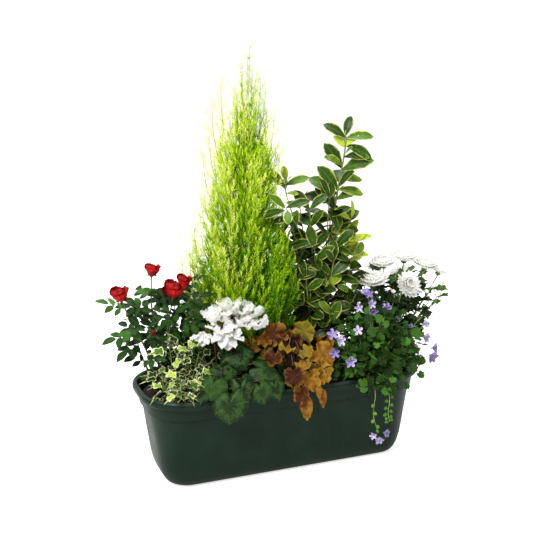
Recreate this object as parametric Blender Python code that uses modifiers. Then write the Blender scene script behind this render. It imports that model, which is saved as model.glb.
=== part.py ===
"""Planted window box: a moulded plastic trough, its compost and eight plants, in metres, +Z up.

The origin is the middle of the trough's base, on the ground; +X runs along the trough and -Y is its front.
Each plant is built as it grows: a stem rooted in the compost, soft closed masses where its leaves are dense,
and separate leaves, stalks and blooms where they stand apart.
"""

from math import cos, pi, radians, sin, sqrt

import bmesh
import bpy
from mathutils import Vector
from mathutils.geometry import interpolate_bezier

# Trough
TROUGH_LENGTH = 0.500
TROUGH_WIDTH = 0.200
TROUGH_HEIGHT = 0.163
RIM_CORNER_RADIUS = 0.078
WALL_THICKNESS = 0.0025
RIM_OVERHANG = 0.008
RIM_DROP = 0.013
COLLAR_DROP = 0.024
COLLAR_STEP = 0.004
STEP_SLOPE_HEIGHT = 0.003
WALL_DRAFT = 0.136
BASE_CURVE_HEIGHT = 0.045
BASE_CURVE_WIDTH = 0.013
SMALLEST_CORNER = 0.020
CORNER_SEGMENTS = 6
LOWER_WALL_HEIGHTS = (0.013, 0.021, 0.032, 0.045)  # where the curve from floor to wall is drawn
FLOOR_CORNER_HEIGHT = 0.008
SKID_HEIGHT = 0.003
SKID_WIDTH = 0.018
SKID_LENGTH = 0.092
SKID_SPACING = 0.160
DRAIN_HOLE_RADIUS = 0.005
DRAIN_HOLE_PLACES = [(x, y) for x in (-0.120, -0.040, 0.040, 0.120) for y in (-0.025, 0.025)]

RIM_UNDERSIDE = TROUGH_HEIGHT - RIM_DROP
STEP_HEIGHT = RIM_UNDERSIDE - COLLAR_DROP
STEP_TOP = STEP_HEIGHT + STEP_SLOPE_HEIGHT
FLOOR_TOP = SKID_HEIGHT + WALL_THICKNESS
COLLAR_TOP = TROUGH_HEIGHT - 0.006

# Inner face of the rolled rim: inset from the rim's outline, and drop below its top
RIM_ROLL = [(0.0082, 0.0022), (0.0066, 0.0004), (0.0045, 0.0), (0.0020, 0.0014), (0.0004, 0.0046), (0.0002, 0.0085),
            (0.0014, RIM_DROP)]

# Compost
COMPOST_TOP = 0.141
COMPOST_WALL_GAP = 0.001
COMPOST_FLOOR_GAP = 0.0005
COMPOST_CURVE_LIFT = 0.001  # its lower sections stand this much above the trough's
COLLAR_FILL = 0.002  # from the step to where the compost is as wide as the collar

# Fits
GAP = 0.0003
ROOT_DEPTH = 0.022
SEAT_DEPTH = 0.024
SEAT_REACH = 0.080
CUT_BEYOND = 0.004
BAR_SEGMENTS = 12
ROOT_Z = COMPOST_TOP - ROOT_DEPTH

# Cypress: radius of the spire at each height above its lowest sprays
CYPRESS_PLACE = (-0.062, 0.035)
CYPRESS_LEAN = radians(2.6)
CYPRESS_FOLIAGE_BASE = 0.205
CYPRESS_TIP_RISE = 0.504
CYPRESS_OUTLINE = [
    (0.500, 0.004), (0.460, 0.014), (0.400, 0.029), (0.310, 0.047), (0.200, 0.063),
    (0.110, 0.072), (0.050, 0.070), (0.012, 0.052), (0.000, 0.030),
]
CYPRESS_TRUNK_RADIUS = 0.0055
CYPRESS_TRUNK_TOP = 0.460
CYPRESS_BORE_GAP = 0.0006
CYPRESS_BORE_ROOM = 0.002
CYPRESS_TAPER_START = 0.68
CYPRESS_TAPER = 0.4
BORE_TAPER_START = 0.7
BORE_TAPER = 0.45
CYPRESS_SEGMENTS = 20

# Leafy masses: centre, half sizes, icosphere subdivisions
LEAFY_MASSES = {
    "euonymus_foliage_main": ((0.100, 0.037, 0.352), (0.062, 0.054, 0.108), 3, "euonymus_leaf"),
    "euonymus_foliage_tall": ((0.152, 0.037, 0.518), (0.044, 0.036, 0.056), 2, "euonymus_leaf"),
    "euonymus_foliage_side": ((0.031, 0.032, 0.506), (0.022, 0.020, 0.022), 2, "euonymus_leaf"),
    "rose_foliage": ((-0.205, 0.030, 0.245), (0.062, 0.045, 0.050), 3, "rose_leaf"),
    "ivy_foliage": ((-0.197, -0.046, 0.208), (0.044, 0.030, 0.035), 2, "ivy_leaf"),
    "chrysanthemum_foliage": ((0.238, 0.040, 0.238), (0.064, 0.044, 0.042), 3, "chrysanthemum_leaf"),
    "campanula_foliage": ((0.142, -0.062, 0.224), (0.078, 0.048, 0.048), 3, "campanula_leaf"),
}

# Upright stems: foot, head, radius, material, the mass that the foot stands in if not the compost, and the mass
# that the head holds
STEMS = {
    "euonymus_stem_main": ((0.085, 0.037), (0.100, 0.037, 0.262), 0.0040, "bark", None, "euonymus_foliage_main"),
    "euonymus_stem_tall": ((0.130, 0.037, 0.428), (0.150, 0.037, 0.478), 0.0022, "bark", "euonymus_foliage_main",
                           "euonymus_foliage_tall"),
    "euonymus_stem_side": ((0.066, 0.035, 0.424), (0.031, 0.032, 0.498), 0.0016, "bark", "euonymus_foliage_main",
                           "euonymus_foliage_side"),
    "rose_stem": ((-0.195, 0.033), (-0.203, 0.030, 0.210), 0.0030, "rose_wood", None, "rose_foliage"),
    "ivy_stem": ((-0.190, -0.044), (-0.195, -0.046, 0.188), 0.0022, "bark", None, "ivy_foliage"),
    "chrysanthemum_stem": ((0.206, 0.035), (0.225, 0.038, 0.214), 0.0030, "soft_stem", None,
                           "chrysanthemum_foliage"),
    "campanula_stem": ((0.140, -0.050), (0.142, -0.058, 0.192), 0.0022, "soft_stem", None, "campanula_foliage"),
}

# Flower stalks: foot, head, radius; each head carries a turned bloom
ROSE_CANES = [
    ((-0.235, 0.012, 0.268), (-0.275, -0.020, 0.318)),
    ((-0.210, 0.020, 0.278), (-0.212, 0.020, 0.345)),
    ((-0.188, 0.016, 0.276), (-0.178, 0.000, 0.319)),
    ((-0.174, 0.042, 0.270), (-0.152, 0.042, 0.322)),
]
ROSE_CANE_RADIUS = 0.0012
CHRYSANTHEMUM_STALKS = [
    ((0.206, 0.040, 0.258), (0.198, 0.040, 0.288)),
    ((0.251, 0.014, 0.258), (0.251, 0.012, 0.281)),
    ((0.245, 0.056, 0.264), (0.258, 0.062, 0.312)),
    ((0.275, 0.040, 0.256), (0.325, 0.026, 0.298)),
]
CHRYSANTHEMUM_STALK_RADIUS = 0.0015
CYCLAMEN_STALKS = [
    ((-0.118, -0.040), (-0.150, -0.048, 0.226)),
    ((-0.108, -0.038), (-0.117, -0.042, 0.258)),
    ((-0.098, -0.042), (-0.084, -0.055, 0.268)),
    ((-0.112, -0.052), (-0.112, -0.078, 0.222)),
]
CYCLAMEN_STALK_RADIUS = 0.0013

# Turned blooms: outline from the top middle, down the outside, to the bottom middle
ROSE_BLOOM = [(0.0, 0.019), (0.006, 0.024), (0.015, 0.022), (0.018, 0.013), (0.012, 0.004), (0.0, 0.0)]
CHRYSANTHEMUM_BLOOM = [(0.0, 0.016), (0.012, 0.017), (0.023, 0.011), (0.024, 0.007), (0.010, 0.001), (0.0, 0.0)]
CYCLAMEN_BLOOM = [(0.0, 0.027), (0.010, 0.032), (0.014, 0.027), (0.007, 0.010), (0.004, 0.002), (0.0, 0.0)]

# Leaves with their own stalks: foot, handle over the foot, handle before the tip, tip, blade length, blade width
CYCLAMEN_LEAVES = [
    ((-0.128, -0.056), 0.055, (-0.172, -0.122, 0.222), (-0.186, -0.124, 0.160), 0.040, 0.034),
    ((-0.122, -0.064), 0.050, (-0.145, -0.134, 0.215), (-0.148, -0.134, 0.128), 0.046, 0.034),
    ((-0.102, -0.066), 0.045, (-0.108, -0.128, 0.200), (-0.108, -0.130, 0.140), 0.040, 0.036),
    ((-0.092, -0.058), 0.060, (-0.080, -0.070, 0.222), (-0.056, -0.086, 0.222), 0.034, 0.036),
    ((-0.090, -0.068), 0.045, (-0.072, -0.125, 0.195), (-0.068, -0.128, 0.146), 0.036, 0.036),
]
HEUCHERA_LEAVES = [
    ((-0.010, -0.045), 0.075, (-0.028, -0.048, 0.262), (-0.038, -0.062, 0.252), 0.040, 0.042),
    ((0.016, -0.040), 0.080, (0.030, -0.044, 0.262), (0.046, -0.052, 0.250), 0.036, 0.036),
    ((0.018, -0.052), 0.065, (0.034, -0.075, 0.232), (0.044, -0.098, 0.206), 0.036, 0.032),
    ((-0.006, -0.058), 0.058, (-0.006, -0.128, 0.205), (0.004, -0.126, 0.114), 0.058, 0.040),
    ((0.012, -0.062), 0.048, (0.034, -0.124, 0.198), (0.040, -0.122, 0.130), 0.040, 0.024),
]
IVY_SPRIG = ((-0.190, -0.073), 0.045, (-0.214, -0.124, 0.214), (-0.216, -0.126, 0.150), 0.040, 0.024)
PETIOLE_RADIUS = 0.0013
BLADE_HALF_THICKNESS = 0.0007
LEAF_RINGS = 14
LEAF_SIDES = 8

# Trailing stems of the campanula, which lie over the rim and hang down the front
CAMPANULA_TRAILS = [
    [(0.122, -0.076, ROOT_Z), (0.122, -0.076, 0.158), (0.123, -0.088, 0.170), (0.126, -0.104, 0.168),
     (0.130, -0.110, 0.150), (0.134, -0.112, 0.110), (0.138, -0.112, 0.070)],
    [(0.148, -0.076, ROOT_Z), (0.148, -0.076, 0.158), (0.149, -0.088, 0.170), (0.151, -0.104, 0.168),
     (0.154, -0.110, 0.150), (0.156, -0.112, 0.122), (0.158, -0.112, 0.094)],
]
TRAIL_RADIUS = 0.0011
# Tuft of flowers at the end of the longer one: outline as fractions of its radius and of its height
TRAIL_TUFT_RADIUS = 0.013
TRAIL_TUFT_HEIGHT = 0.0208
TRAIL_TUFT_OFFSET = 0.004
TRAIL_TUFT = [(0.0, 1.0), (0.5, 0.92), (1.0, 0.45), (0.6, 0.08), (0.0, 0.0)]

COLORS = {
    "box_plastic": ((0.014, 0.030, 0.022, 1.0), 0.42),
    "compost_soil": ((0.022, 0.014, 0.008, 1.0), 0.95),
    "bark": ((0.120, 0.085, 0.045, 1.0), 0.85),
    "rose_wood": ((0.060, 0.100, 0.030, 1.0), 0.60),
    "soft_stem": ((0.130, 0.210, 0.060, 1.0), 0.60),
    "cypress_leaf": ((0.300, 0.420, 0.030, 1.0), 0.65),
    "euonymus_leaf": ((0.190, 0.270, 0.040, 1.0), 0.40),
    "rose_leaf": ((0.035, 0.075, 0.022, 1.0), 0.50),
    "rose_petal": ((0.420, 0.012, 0.010, 1.0), 0.50),
    "ivy_leaf": ((0.190, 0.260, 0.100, 1.0), 0.45),
    "cyclamen_leaf": ((0.025, 0.075, 0.022, 1.0), 0.50),
    "cyclamen_petal": ((0.860, 0.860, 0.840, 1.0), 0.55),
    "heuchera_leaf": ((0.330, 0.140, 0.022, 1.0), 0.55),
    "chrysanthemum_leaf": ((0.045, 0.085, 0.035, 1.0), 0.60),
    "chrysanthemum_petal": ((0.860, 0.860, 0.820, 1.0), 0.55),
    "campanula_leaf": ((0.050, 0.120, 0.020, 1.0), 0.50),
    "campanula_petal": ((0.280, 0.230, 0.500, 1.0), 0.55),
}


def clear_scene():
    for obj in list(bpy.data.objects):
        bpy.data.objects.remove(obj, do_unlink=True)


def make_collection(name):
    collection = bpy.data.collections.new(name)
    bpy.context.scene.collection.children.link(collection)
    return collection


def make_materials():
    materials = {}
    for name, (color, roughness) in COLORS.items():
        material = bpy.data.materials.new(name)
        material.use_nodes = True
        shader = material.node_tree.nodes["Principled BSDF"]
        shader.inputs["Base Color"].default_value = color
        shader.inputs["Roughness"].default_value = roughness
        shader.inputs["Metallic"].default_value = 0.0
        material.diffuse_color = color
        materials[name] = material
    return materials


def add_object(name, data, material_name, location=(0.0, 0.0, 0.0)):
    """Put a mesh or curve in the part's collection, with its material."""
    obj = bpy.data.objects.new(name, data)
    PART.objects.link(obj)
    obj.location = location
    data.materials.append(MATERIALS[material_name])
    return obj


def add_cutter(name, bm):
    """A Boolean operand, kept out of the part."""
    mesh = bpy.data.meshes.new(name)
    bm.to_mesh(mesh)
    bm.free()
    cutter = bpy.data.objects.new(name, mesh)
    CUTTERS.objects.link(cutter)
    cutter.hide_render = True
    cutter.display_type = "WIRE"
    return cutter


def add_boolean(obj, operation, cutter):
    modifier = obj.modifiers.new(cutter.name, "BOOLEAN")
    modifier.operation = operation
    modifier.solver = "EXACT"
    modifier.object = cutter


# Solids from sections


def loft(name, rings, material_name, open_top=False):
    """Join a row of closed sections, each of as many points, and close the ends."""
    bm = bmesh.new()
    loops = [[bm.verts.new(point) for point in ring] for ring in rings]
    count = len(loops[0])
    for low, high in zip(loops, loops[1:]):
        for i in range(count):
            j = (i + 1) % count
            bm.faces.new((low[i], low[j], high[j], high[i]))
    bm.faces.new(list(reversed(loops[0])))
    if not open_top:
        bm.faces.new(loops[-1])
    mesh = bpy.data.meshes.new(name)
    bm.to_mesh(mesh)
    bm.free()
    return add_object(name, mesh, material_name)


def rounded_outline(inset, z):
    """The rim's rounded rectangle drawn in by an inset, counter-clockwise from above."""
    half_length = TROUGH_LENGTH / 2 - inset
    half_width = TROUGH_WIDTH / 2 - inset
    radius = max(RIM_CORNER_RADIUS - inset, SMALLEST_CORNER)
    points = []
    for quarter, (sx, sy) in enumerate(((1, 1), (-1, 1), (-1, -1), (1, -1))):
        cx = sx * (half_length - radius)
        cy = sy * (half_width - radius)
        for step in range(CORNER_SEGMENTS + 1):
            angle = pi / 2 * (quarter + step / CORNER_SEGMENTS)
            points.append((cx + radius * cos(angle), cy + radius * sin(angle), z))
    return points


def wall_inset(z, above_step):
    """How far the wall's outer face stands inside the rim's outline at a height."""
    inset = RIM_OVERHANG + WALL_DRAFT * (RIM_UNDERSIDE - z)
    if not above_step:
        inset += COLLAR_STEP
    if z < BASE_CURVE_HEIGHT:
        fall = 1 - (z - SKID_HEIGHT) / (BASE_CURVE_HEIGHT - SKID_HEIGHT)
        inset += BASE_CURVE_WIDTH * (1 - sqrt(max(0.0, 1 - fall * fall)))
    return inset


# Trough and compost


def make_trough():
    """Inner face of the moulding from the floor up over the rolled rim, thickened outwards."""
    sections = [(wall_inset(z, False) + WALL_THICKNESS, z)
                for z in (FLOOR_TOP, FLOOR_CORNER_HEIGHT, *LOWER_WALL_HEIGHTS, STEP_HEIGHT)]
    sections += [(wall_inset(z, True) + WALL_THICKNESS, z) for z in (STEP_TOP, COLLAR_TOP)]
    sections += [(inset, TROUGH_HEIGHT - drop) for inset, drop in RIM_ROLL]
    rings = [rounded_outline(inset, z) for inset, z in sections]
    trough = loft("planter_box", rings, "box_plastic", open_top=True)
    trough.data.flip_normals()

    shell = trough.modifiers.new("wall", "SOLIDIFY")
    shell.thickness = WALL_THICKNESS
    shell.offset = -1.0
    shell.use_even_offset = True

    skids = bmesh.new()
    for x in (-SKID_SPACING, 0.0, SKID_SPACING):
        made = bmesh.ops.create_cube(skids, size=1.0)["verts"]
        height = SKID_HEIGHT + WALL_THICKNESS / 2
        bmesh.ops.scale(skids, vec=(SKID_WIDTH, SKID_LENGTH, height), verts=made)
        bmesh.ops.translate(skids, vec=(x, 0.0, height / 2), verts=made)
    add_boolean(trough, "UNION", add_cutter("base_skids", skids))

    drains = bmesh.new()
    for x, y in DRAIN_HOLE_PLACES:
        add_round_bar(drains, x, y, 0.0, FLOOR_TOP + CUT_BEYOND, DRAIN_HOLE_RADIUS)
    add_boolean(trough, "DIFFERENCE", add_cutter("drain_holes", drains))


def make_compost():
    """The compost follows the trough's inner face a little inside it."""
    inset_gap = WALL_THICKNESS + COMPOST_WALL_GAP
    step_clear = STEP_TOP + COMPOST_WALL_GAP
    lower = [FLOOR_TOP + COMPOST_FLOOR_GAP, FLOOR_CORNER_HEIGHT + COMPOST_CURVE_LIFT]
    lower += [z + COMPOST_CURVE_LIFT for z in LOWER_WALL_HEIGHTS]
    sections = [(wall_inset(z, False) + inset_gap, z) for z in lower]
    sections.append((wall_inset(STEP_HEIGHT, False) + inset_gap, step_clear))
    sections += [(wall_inset(z, True) + inset_gap, z) for z in (step_clear + COLLAR_FILL, COMPOST_TOP)]
    rings = [rounded_outline(inset, z) for inset, z in sections]
    compost = loft("compost", rings, "compost_soil")
    sockets = bmesh.new()
    for x, y, radius in ROOT_SOCKETS:
        add_round_bar(sockets, x, y, ROOT_Z - GAP, COMPOST_TOP + CUT_BEYOND, radius + GAP)
    add_boolean(compost, "DIFFERENCE", add_cutter("root_sockets", sockets))


def add_round_bar(bm, x, y, low, high, radius):
    """An upright bar in a cutter's mesh, whose flats clear the radius."""
    across = radius / cos(pi / BAR_SEGMENTS)
    made = bmesh.ops.create_cone(bm, cap_ends=True, segments=BAR_SEGMENTS, radius1=across, radius2=across,
                                 depth=high - low)["verts"]
    bmesh.ops.translate(bm, vec=(x, y, (low + high) / 2), verts=made)


# Plant forms


def add_turned(name, outline, material_name, location, segments=BAR_SEGMENTS):
    """A closed outline in the XZ plane, turned about Z."""
    bm = bmesh.new()
    points = [bm.verts.new((radius, 0.0, z)) for radius, z in outline]
    for a, b in zip(points, points[1:]):
        bm.edges.new((a, b))
    mesh = bpy.data.meshes.new(name)
    bm.to_mesh(mesh)
    bm.free()
    obj = add_object(name, mesh, material_name, location)
    screw = obj.modifiers.new("turn", "SCREW")
    screw.axis = "Z"
    screw.angle = 2 * pi
    screw.steps = segments
    screw.render_steps = segments
    screw.use_merge_vertices = True
    screw.merge_threshold = 0.0001
    return obj


def add_tube(name, points, radius, material_name):
    """A round stem along a row of points, with closed ends."""
    curve = bpy.data.curves.new(name, "CURVE")
    curve.dimensions = "3D"
    curve.bevel_depth = radius
    curve.bevel_resolution = 2
    curve.use_fill_caps = True
    spline = curve.splines.new("POLY")
    spline.points.add(len(points) - 1)
    for target, point in zip(spline.points, points):
        target.co = (*point, 1.0)
    return add_object(name, curve, material_name)


def upright_path(foot, head, steps=6):
    """A path that leaves its foot and reaches its head upright, with the sideways travel between them."""
    start = Vector((foot[0], foot[1], foot[2] if len(foot) == 3 else ROOT_Z))
    end = Vector(head)
    straight = SEAT_DEPTH if len(foot) == 3 else ROOT_DEPTH
    low = start + Vector((0.0, 0.0, min(straight, (end.z - start.z) / 2)))
    high = end - Vector((0.0, 0.0, min(SEAT_DEPTH, (end.z - low.z) / 2)))
    lift = Vector((0.0, 0.0, (high.z - low.z) * 0.4))
    return [start] + list(interpolate_bezier(low, low + lift, high - lift, high, steps)) + [end]


def add_stem(name, foot, head, radius, material_name):
    """A stem whose foot stands in the compost, or in the mass of leaves that it grows from."""
    if len(foot) == 2:
        ROOT_SOCKETS.append((foot[0], foot[1], radius))
    add_tube(name, upright_path(foot, head), radius, material_name)


def add_mass(name, centre, half_sizes, subdivisions, material_name):
    """A dense head of leaves as one uneven, rounded solid."""
    bm = bmesh.new()
    bmesh.ops.create_icosphere(bm, subdivisions=subdivisions, radius=1.0)
    for vert in bm.verts:
        x, y, z = vert.co
        uneven = 1.0 + 0.05 * sin(5 * x + 2 * z) * cos(4 * y - z) + 0.03 * sin(9 * z + 3 * y)
        vert.co = Vector((x * half_sizes[0], y * half_sizes[1], z * half_sizes[2])) * uneven
    mesh = bpy.data.meshes.new(name)
    bm.to_mesh(mesh)
    bm.free()
    obj = add_object(name, mesh, material_name, centre)
    seats = [seat for seat in MASS_SEATS if seat[0] == name]
    if seats:
        cutters = bmesh.new()
        for _, x, y, low, high, radius in seats:
            add_round_bar(cutters, x, y, low, high, radius)
        add_boolean(obj, "DIFFERENCE", add_cutter(name + "_seats", cutters))


def add_leaf(name, foot, rise, handle, tip, blade_length, blade_width, material_name):
    """A leaf on its own stalk: a round section that widens into a flat blade, carried along one arched path."""
    start = Vector((foot[0], foot[1], ROOT_Z))
    low = Vector((foot[0], foot[1], COMPOST_TOP))
    end = Vector(tip)
    path = [start] + list(interpolate_bezier(low, low + Vector((0.0, 0.0, rise)), Vector(handle), end, LEAF_RINGS))
    heading = Vector((end.x - start.x, end.y - start.y, 0.0)).normalized()
    side = heading.cross(Vector((0.0, 0.0, 1.0)))
    to_tip = [0.0]
    for here, after in zip(reversed(path[:-1]), reversed(path[1:])):
        to_tip.append(to_tip[-1] + (after - here).length)
    to_tip.reverse()
    rings = []
    for i, point in enumerate(path):
        tangent = (path[min(i + 1, len(path) - 1)] - path[max(i - 1, 0)]).normalized()
        thick = tangent.cross(side).normalized()
        along = to_tip[i] / blade_length
        half_width = PETIOLE_RADIUS
        half_thickness = PETIOLE_RADIUS
        if along < 1.0:
            half_width += blade_width / 2 * sqrt(max(0.0, sin(pi * along ** 0.8)))
            half_thickness = BLADE_HALF_THICKNESS
        rings.append([point + side * (half_width * cos(2 * pi * k / LEAF_SIDES))
                      + thick * (half_thickness * sin(2 * pi * k / LEAF_SIDES)) for k in range(LEAF_SIDES)])
    ROOT_SOCKETS.append((foot[0], foot[1], PETIOLE_RADIUS))
    loft(name, rings, material_name)


# Plants


def make_cypress():
    """A turned spire of sprays round the trunk that carries it; both lean together."""
    x, y = CYPRESS_PLACE
    lean = bpy.data.objects.new("cypress_lean", None)
    PART.objects.link(lean)
    lean.location = (x, y, COMPOST_TOP)
    lean.rotation_euler = (0.0, CYPRESS_LEAN, 0.0)

    base = CYPRESS_FOLIAGE_BASE - COMPOST_TOP
    bore = CYPRESS_TRUNK_RADIUS + CYPRESS_BORE_GAP
    bore_top = CYPRESS_TRUNK_TOP + CYPRESS_BORE_ROOM
    outline = [(0.0, base + CYPRESS_TIP_RISE)] + [(radius, base + z) for z, radius in CYPRESS_OUTLINE]
    outline += [(bore, base), (bore, bore_top * BORE_TAPER_START), (bore * BORE_TAPER, bore_top), (0.0, bore_top)]
    foliage = add_turned("cypress_foliage", outline, "cypress_leaf", (0.0, 0.0, 0.0), CYPRESS_SEGMENTS)
    foliage.parent = lean

    trunk_outline = [(0.0, CYPRESS_TRUNK_TOP), (CYPRESS_TRUNK_RADIUS * CYPRESS_TAPER, CYPRESS_TRUNK_TOP),
                     (CYPRESS_TRUNK_RADIUS, CYPRESS_TRUNK_TOP * CYPRESS_TAPER_START), (CYPRESS_TRUNK_RADIUS, -ROOT_DEPTH),
                     (0.0, -ROOT_DEPTH)]
    trunk = add_turned("cypress_trunk", trunk_outline, "bark", (0.0, 0.0, 0.0))
    trunk.parent = lean
    ROOT_SOCKETS.append((x, y, CYPRESS_TRUNK_RADIUS + ROOT_DEPTH * sin(CYPRESS_LEAN)))


def make_stems():
    for name, (foot, head, radius, material_name, foot_mass, head_mass) in STEMS.items():
        add_stem(name, foot, head, radius, material_name)
        if foot_mass:
            seat(foot_mass, foot, radius, True)
        seat(head_mass, head, radius, False)


def seat(mass_name, point, radius, opens_up):
    """Room in a mass of leaves for a stem that stands in it, or that comes up into it."""
    low = point[2] - GAP if opens_up else point[2] - SEAT_REACH
    high = point[2] + SEAT_REACH if opens_up else point[2] + GAP
    MASS_SEATS.append((mass_name, point[0], point[1], low, high, radius + GAP))


def make_blooms():
    """Stalks with a bloom standing on each."""
    rows = [
        ("rose", "cane", ROSE_CANES, ROSE_CANE_RADIUS, "rose_wood", ROSE_BLOOM, "rose_petal"),
        ("chrysanthemum", "stalk", CHRYSANTHEMUM_STALKS, CHRYSANTHEMUM_STALK_RADIUS, "soft_stem",
         CHRYSANTHEMUM_BLOOM, "chrysanthemum_petal"),
        ("cyclamen", "stalk", CYCLAMEN_STALKS, CYCLAMEN_STALK_RADIUS, "soft_stem",
         CYCLAMEN_BLOOM, "cyclamen_petal"),
    ]
    for plant, stalk_word, stalks, radius, stalk_material, outline, petal in rows:
        for number, (foot, head) in enumerate(stalks, 1):
            add_stem(f"{plant}_{stalk_word}_{number}", foot, head, radius, stalk_material)
            if len(foot) == 3:
                seat(plant + "_foliage", foot, radius, True)
            place = (head[0], head[1], head[2] + GAP)
            add_turned(f"{plant}_bloom_{number}", outline, petal, place)


def make_leaves():
    for number, leaf in enumerate(CYCLAMEN_LEAVES, 1):
        add_leaf(f"cyclamen_leaf_{number}", *leaf, "cyclamen_leaf")
    for number, leaf in enumerate(HEUCHERA_LEAVES, 1):
        add_leaf(f"heuchera_leaf_{number}", *leaf, "heuchera_leaf")
    add_leaf("ivy_sprig", *IVY_SPRIG, "ivy_leaf")


def make_trails():
    """Trailing stems over the front rim; the longer one ends in a tuft of flowers."""
    for number, points in enumerate(CAMPANULA_TRAILS, 1):
        x, y, _ = points[0]
        ROOT_SOCKETS.append((x, y, TRAIL_RADIUS))
        add_tube(f"campanula_trail_{number}", points, TRAIL_RADIUS, "soft_stem")
    end = CAMPANULA_TRAILS[0][-1]
    outline = [(TRAIL_TUFT_RADIUS * across, TRAIL_TUFT_HEIGHT * up) for across, up in TRAIL_TUFT]
    place = (end[0], end[1] - TRAIL_TUFT_OFFSET, end[2] - GAP - TRAIL_TUFT_HEIGHT)
    add_turned("campanula_tuft", outline, "campanula_petal", place)


def make_masses():
    for name, (centre, half_sizes, subdivisions, material_name) in LEAFY_MASSES.items():
        add_mass(name, centre, half_sizes, subdivisions, material_name)


clear_scene()
PART = make_collection("planted_window_box")
CUTTERS = make_collection("cutters")
MATERIALS = make_materials()
ROOT_SOCKETS = []
MASS_SEATS = []
make_trough()
make_cypress()
make_stems()
make_blooms()
make_leaves()
make_trails()
make_masses()
make_compost()
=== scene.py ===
"""Planted window box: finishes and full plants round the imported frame. Metres, +Z up, -Y is the front."""

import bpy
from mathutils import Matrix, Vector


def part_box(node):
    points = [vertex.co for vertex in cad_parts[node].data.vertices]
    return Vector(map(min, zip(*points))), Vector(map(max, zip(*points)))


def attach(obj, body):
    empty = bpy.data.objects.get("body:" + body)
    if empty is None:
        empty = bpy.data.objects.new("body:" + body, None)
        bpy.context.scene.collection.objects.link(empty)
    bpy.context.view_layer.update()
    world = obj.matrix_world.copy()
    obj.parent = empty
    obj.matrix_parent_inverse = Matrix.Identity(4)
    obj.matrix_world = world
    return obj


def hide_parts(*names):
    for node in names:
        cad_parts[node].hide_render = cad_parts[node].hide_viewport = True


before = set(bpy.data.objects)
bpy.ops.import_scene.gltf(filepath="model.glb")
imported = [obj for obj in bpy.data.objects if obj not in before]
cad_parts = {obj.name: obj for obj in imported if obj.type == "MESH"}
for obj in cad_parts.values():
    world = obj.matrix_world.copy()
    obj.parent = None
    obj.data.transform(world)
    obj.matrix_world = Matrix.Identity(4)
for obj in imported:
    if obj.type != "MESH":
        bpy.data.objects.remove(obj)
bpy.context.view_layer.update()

from collections import namedtuple
from math import cos, pi, radians, sin

import bpy
import numpy as np
from mathutils import Vector

UP = np.array([0.0, 0.0, 1.0])
LIGHTWARD = np.array([-0.35, -0.85, 0.40])  # the way that leaves turn their faces
GOLDEN_ANGLE = 137.5

# A flat leaf. For each point: its place in plan, its side (1 on top, 0 at the border, -1 below), its map,
# how near the rim it is, and how far round or along the leaf. Then its faces
Shape = namedtuple("Shape", "flat side uv rim wave quads tris")
# A finished part: points in metres, faces, map, and a tint from dark to light at each point
Part = namedtuple("Part", "points quads tris uv tint")


# Surfaces worked out as arrays


def unit(vectors):
    """Each vector over its own length."""
    return vectors / np.maximum(np.linalg.norm(vectors, axis=-1, keepdims=True), 1e-12)


def aim(bearing, rise):
    """Directions at a bearing from +X round towards +Y and a rise above level, both in degrees."""
    turn, lift = np.radians(bearing), np.radians(rise)
    level = np.cos(lift)
    return np.stack(np.broadcast_arrays(np.cos(turn) * level, np.sin(turn) * level, np.sin(lift)), -1)


def square_to(axis, beside=(0.0, 1.0, 0.0)):
    """The axis made one long, and the rows that turn a point from upright on +Z to upright on the axis."""
    up = unit(np.asarray(axis, float))
    side = unit(np.cross(up, beside))
    return up, np.stack([side, np.cross(up, side), up])


def metres(rows, *columns):
    """A table as an array. Tables give lengths in millimetres, which become metres in the columns named,
    or in all where none is named, and turns in degrees."""
    rows = np.array(rows, float)
    rows[:, columns or slice(None)] /= 1000
    return rows


def smooth_path(points, count):
    """Points evenly spaced in parameter on a Catmull-Rom spline through the given ones."""
    given = np.asarray(points, float)
    padded = np.vstack([2 * given[0] - given[1], given, 2 * given[-1] - given[-2]])
    at = np.linspace(0, len(given) - 1, count)
    i = np.minimum(at.astype(int), len(given) - 2)
    t = (at - i)[:, None]
    a, b, c, d = (padded[i + k] for k in range(4))
    square, cube = 2 * a - 5 * b + 4 * c - d, 3 * b - a - 3 * c + d
    return 0.5 * (2 * b + (c - a) * t + square * t ** 2 + cube * t ** 3)


def along_path(path, fractions):
    """Places and directions at fractions of the way along a path."""
    at = np.asarray(fractions, float) * (len(path) - 1)
    i = np.clip(at.astype(int), 0, len(path) - 2)
    return path[i] + (at - i)[:, None] * (path[i + 1] - path[i]), unit(path[i + 1] - path[i])


def long_blade(rows, columns, width_at):
    """A flat leaf one long and width_at(u) wide at u from stalk to tip, on a grid of rows and columns. Its
    underside is the same grid and shares the border, so that the leaf is a closed lens."""
    u, v = np.meshgrid(np.linspace(0, 1, rows), np.linspace(-1, 1, columns), indexing="ij")
    border = np.ones((rows, columns), bool)
    border[1:-1, 1:-1] = False
    inner = ~border.ravel()
    top = np.arange(rows * columns).reshape(rows, columns)
    under = top.copy()
    under[1:-1, 1:-1] = rows * columns + np.arange(inner.sum()).reshape(rows - 2, columns - 2)

    def cells(grid):
        return np.stack([grid[:-1, :-1], grid[:-1, 1:], grid[1:, 1:], grid[1:, :-1]], -1).reshape(-1, 4)

    def both(values):
        return np.concatenate([values, values[inner]])

    flat = np.column_stack([(0.5 * v * width_at(u)).ravel(), u.ravel()])
    uv = np.column_stack([(v.ravel() + 1) / 2, u.ravel()])
    side = np.concatenate([inner.astype(float), -np.ones(inner.sum())])
    return Shape(both(flat), side, both(uv), both(np.abs(v).ravel()), both(u.ravel()),
                 np.vstack([cells(top), cells(under)[:, ::-1]]), np.zeros((0, 3), int))


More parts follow.
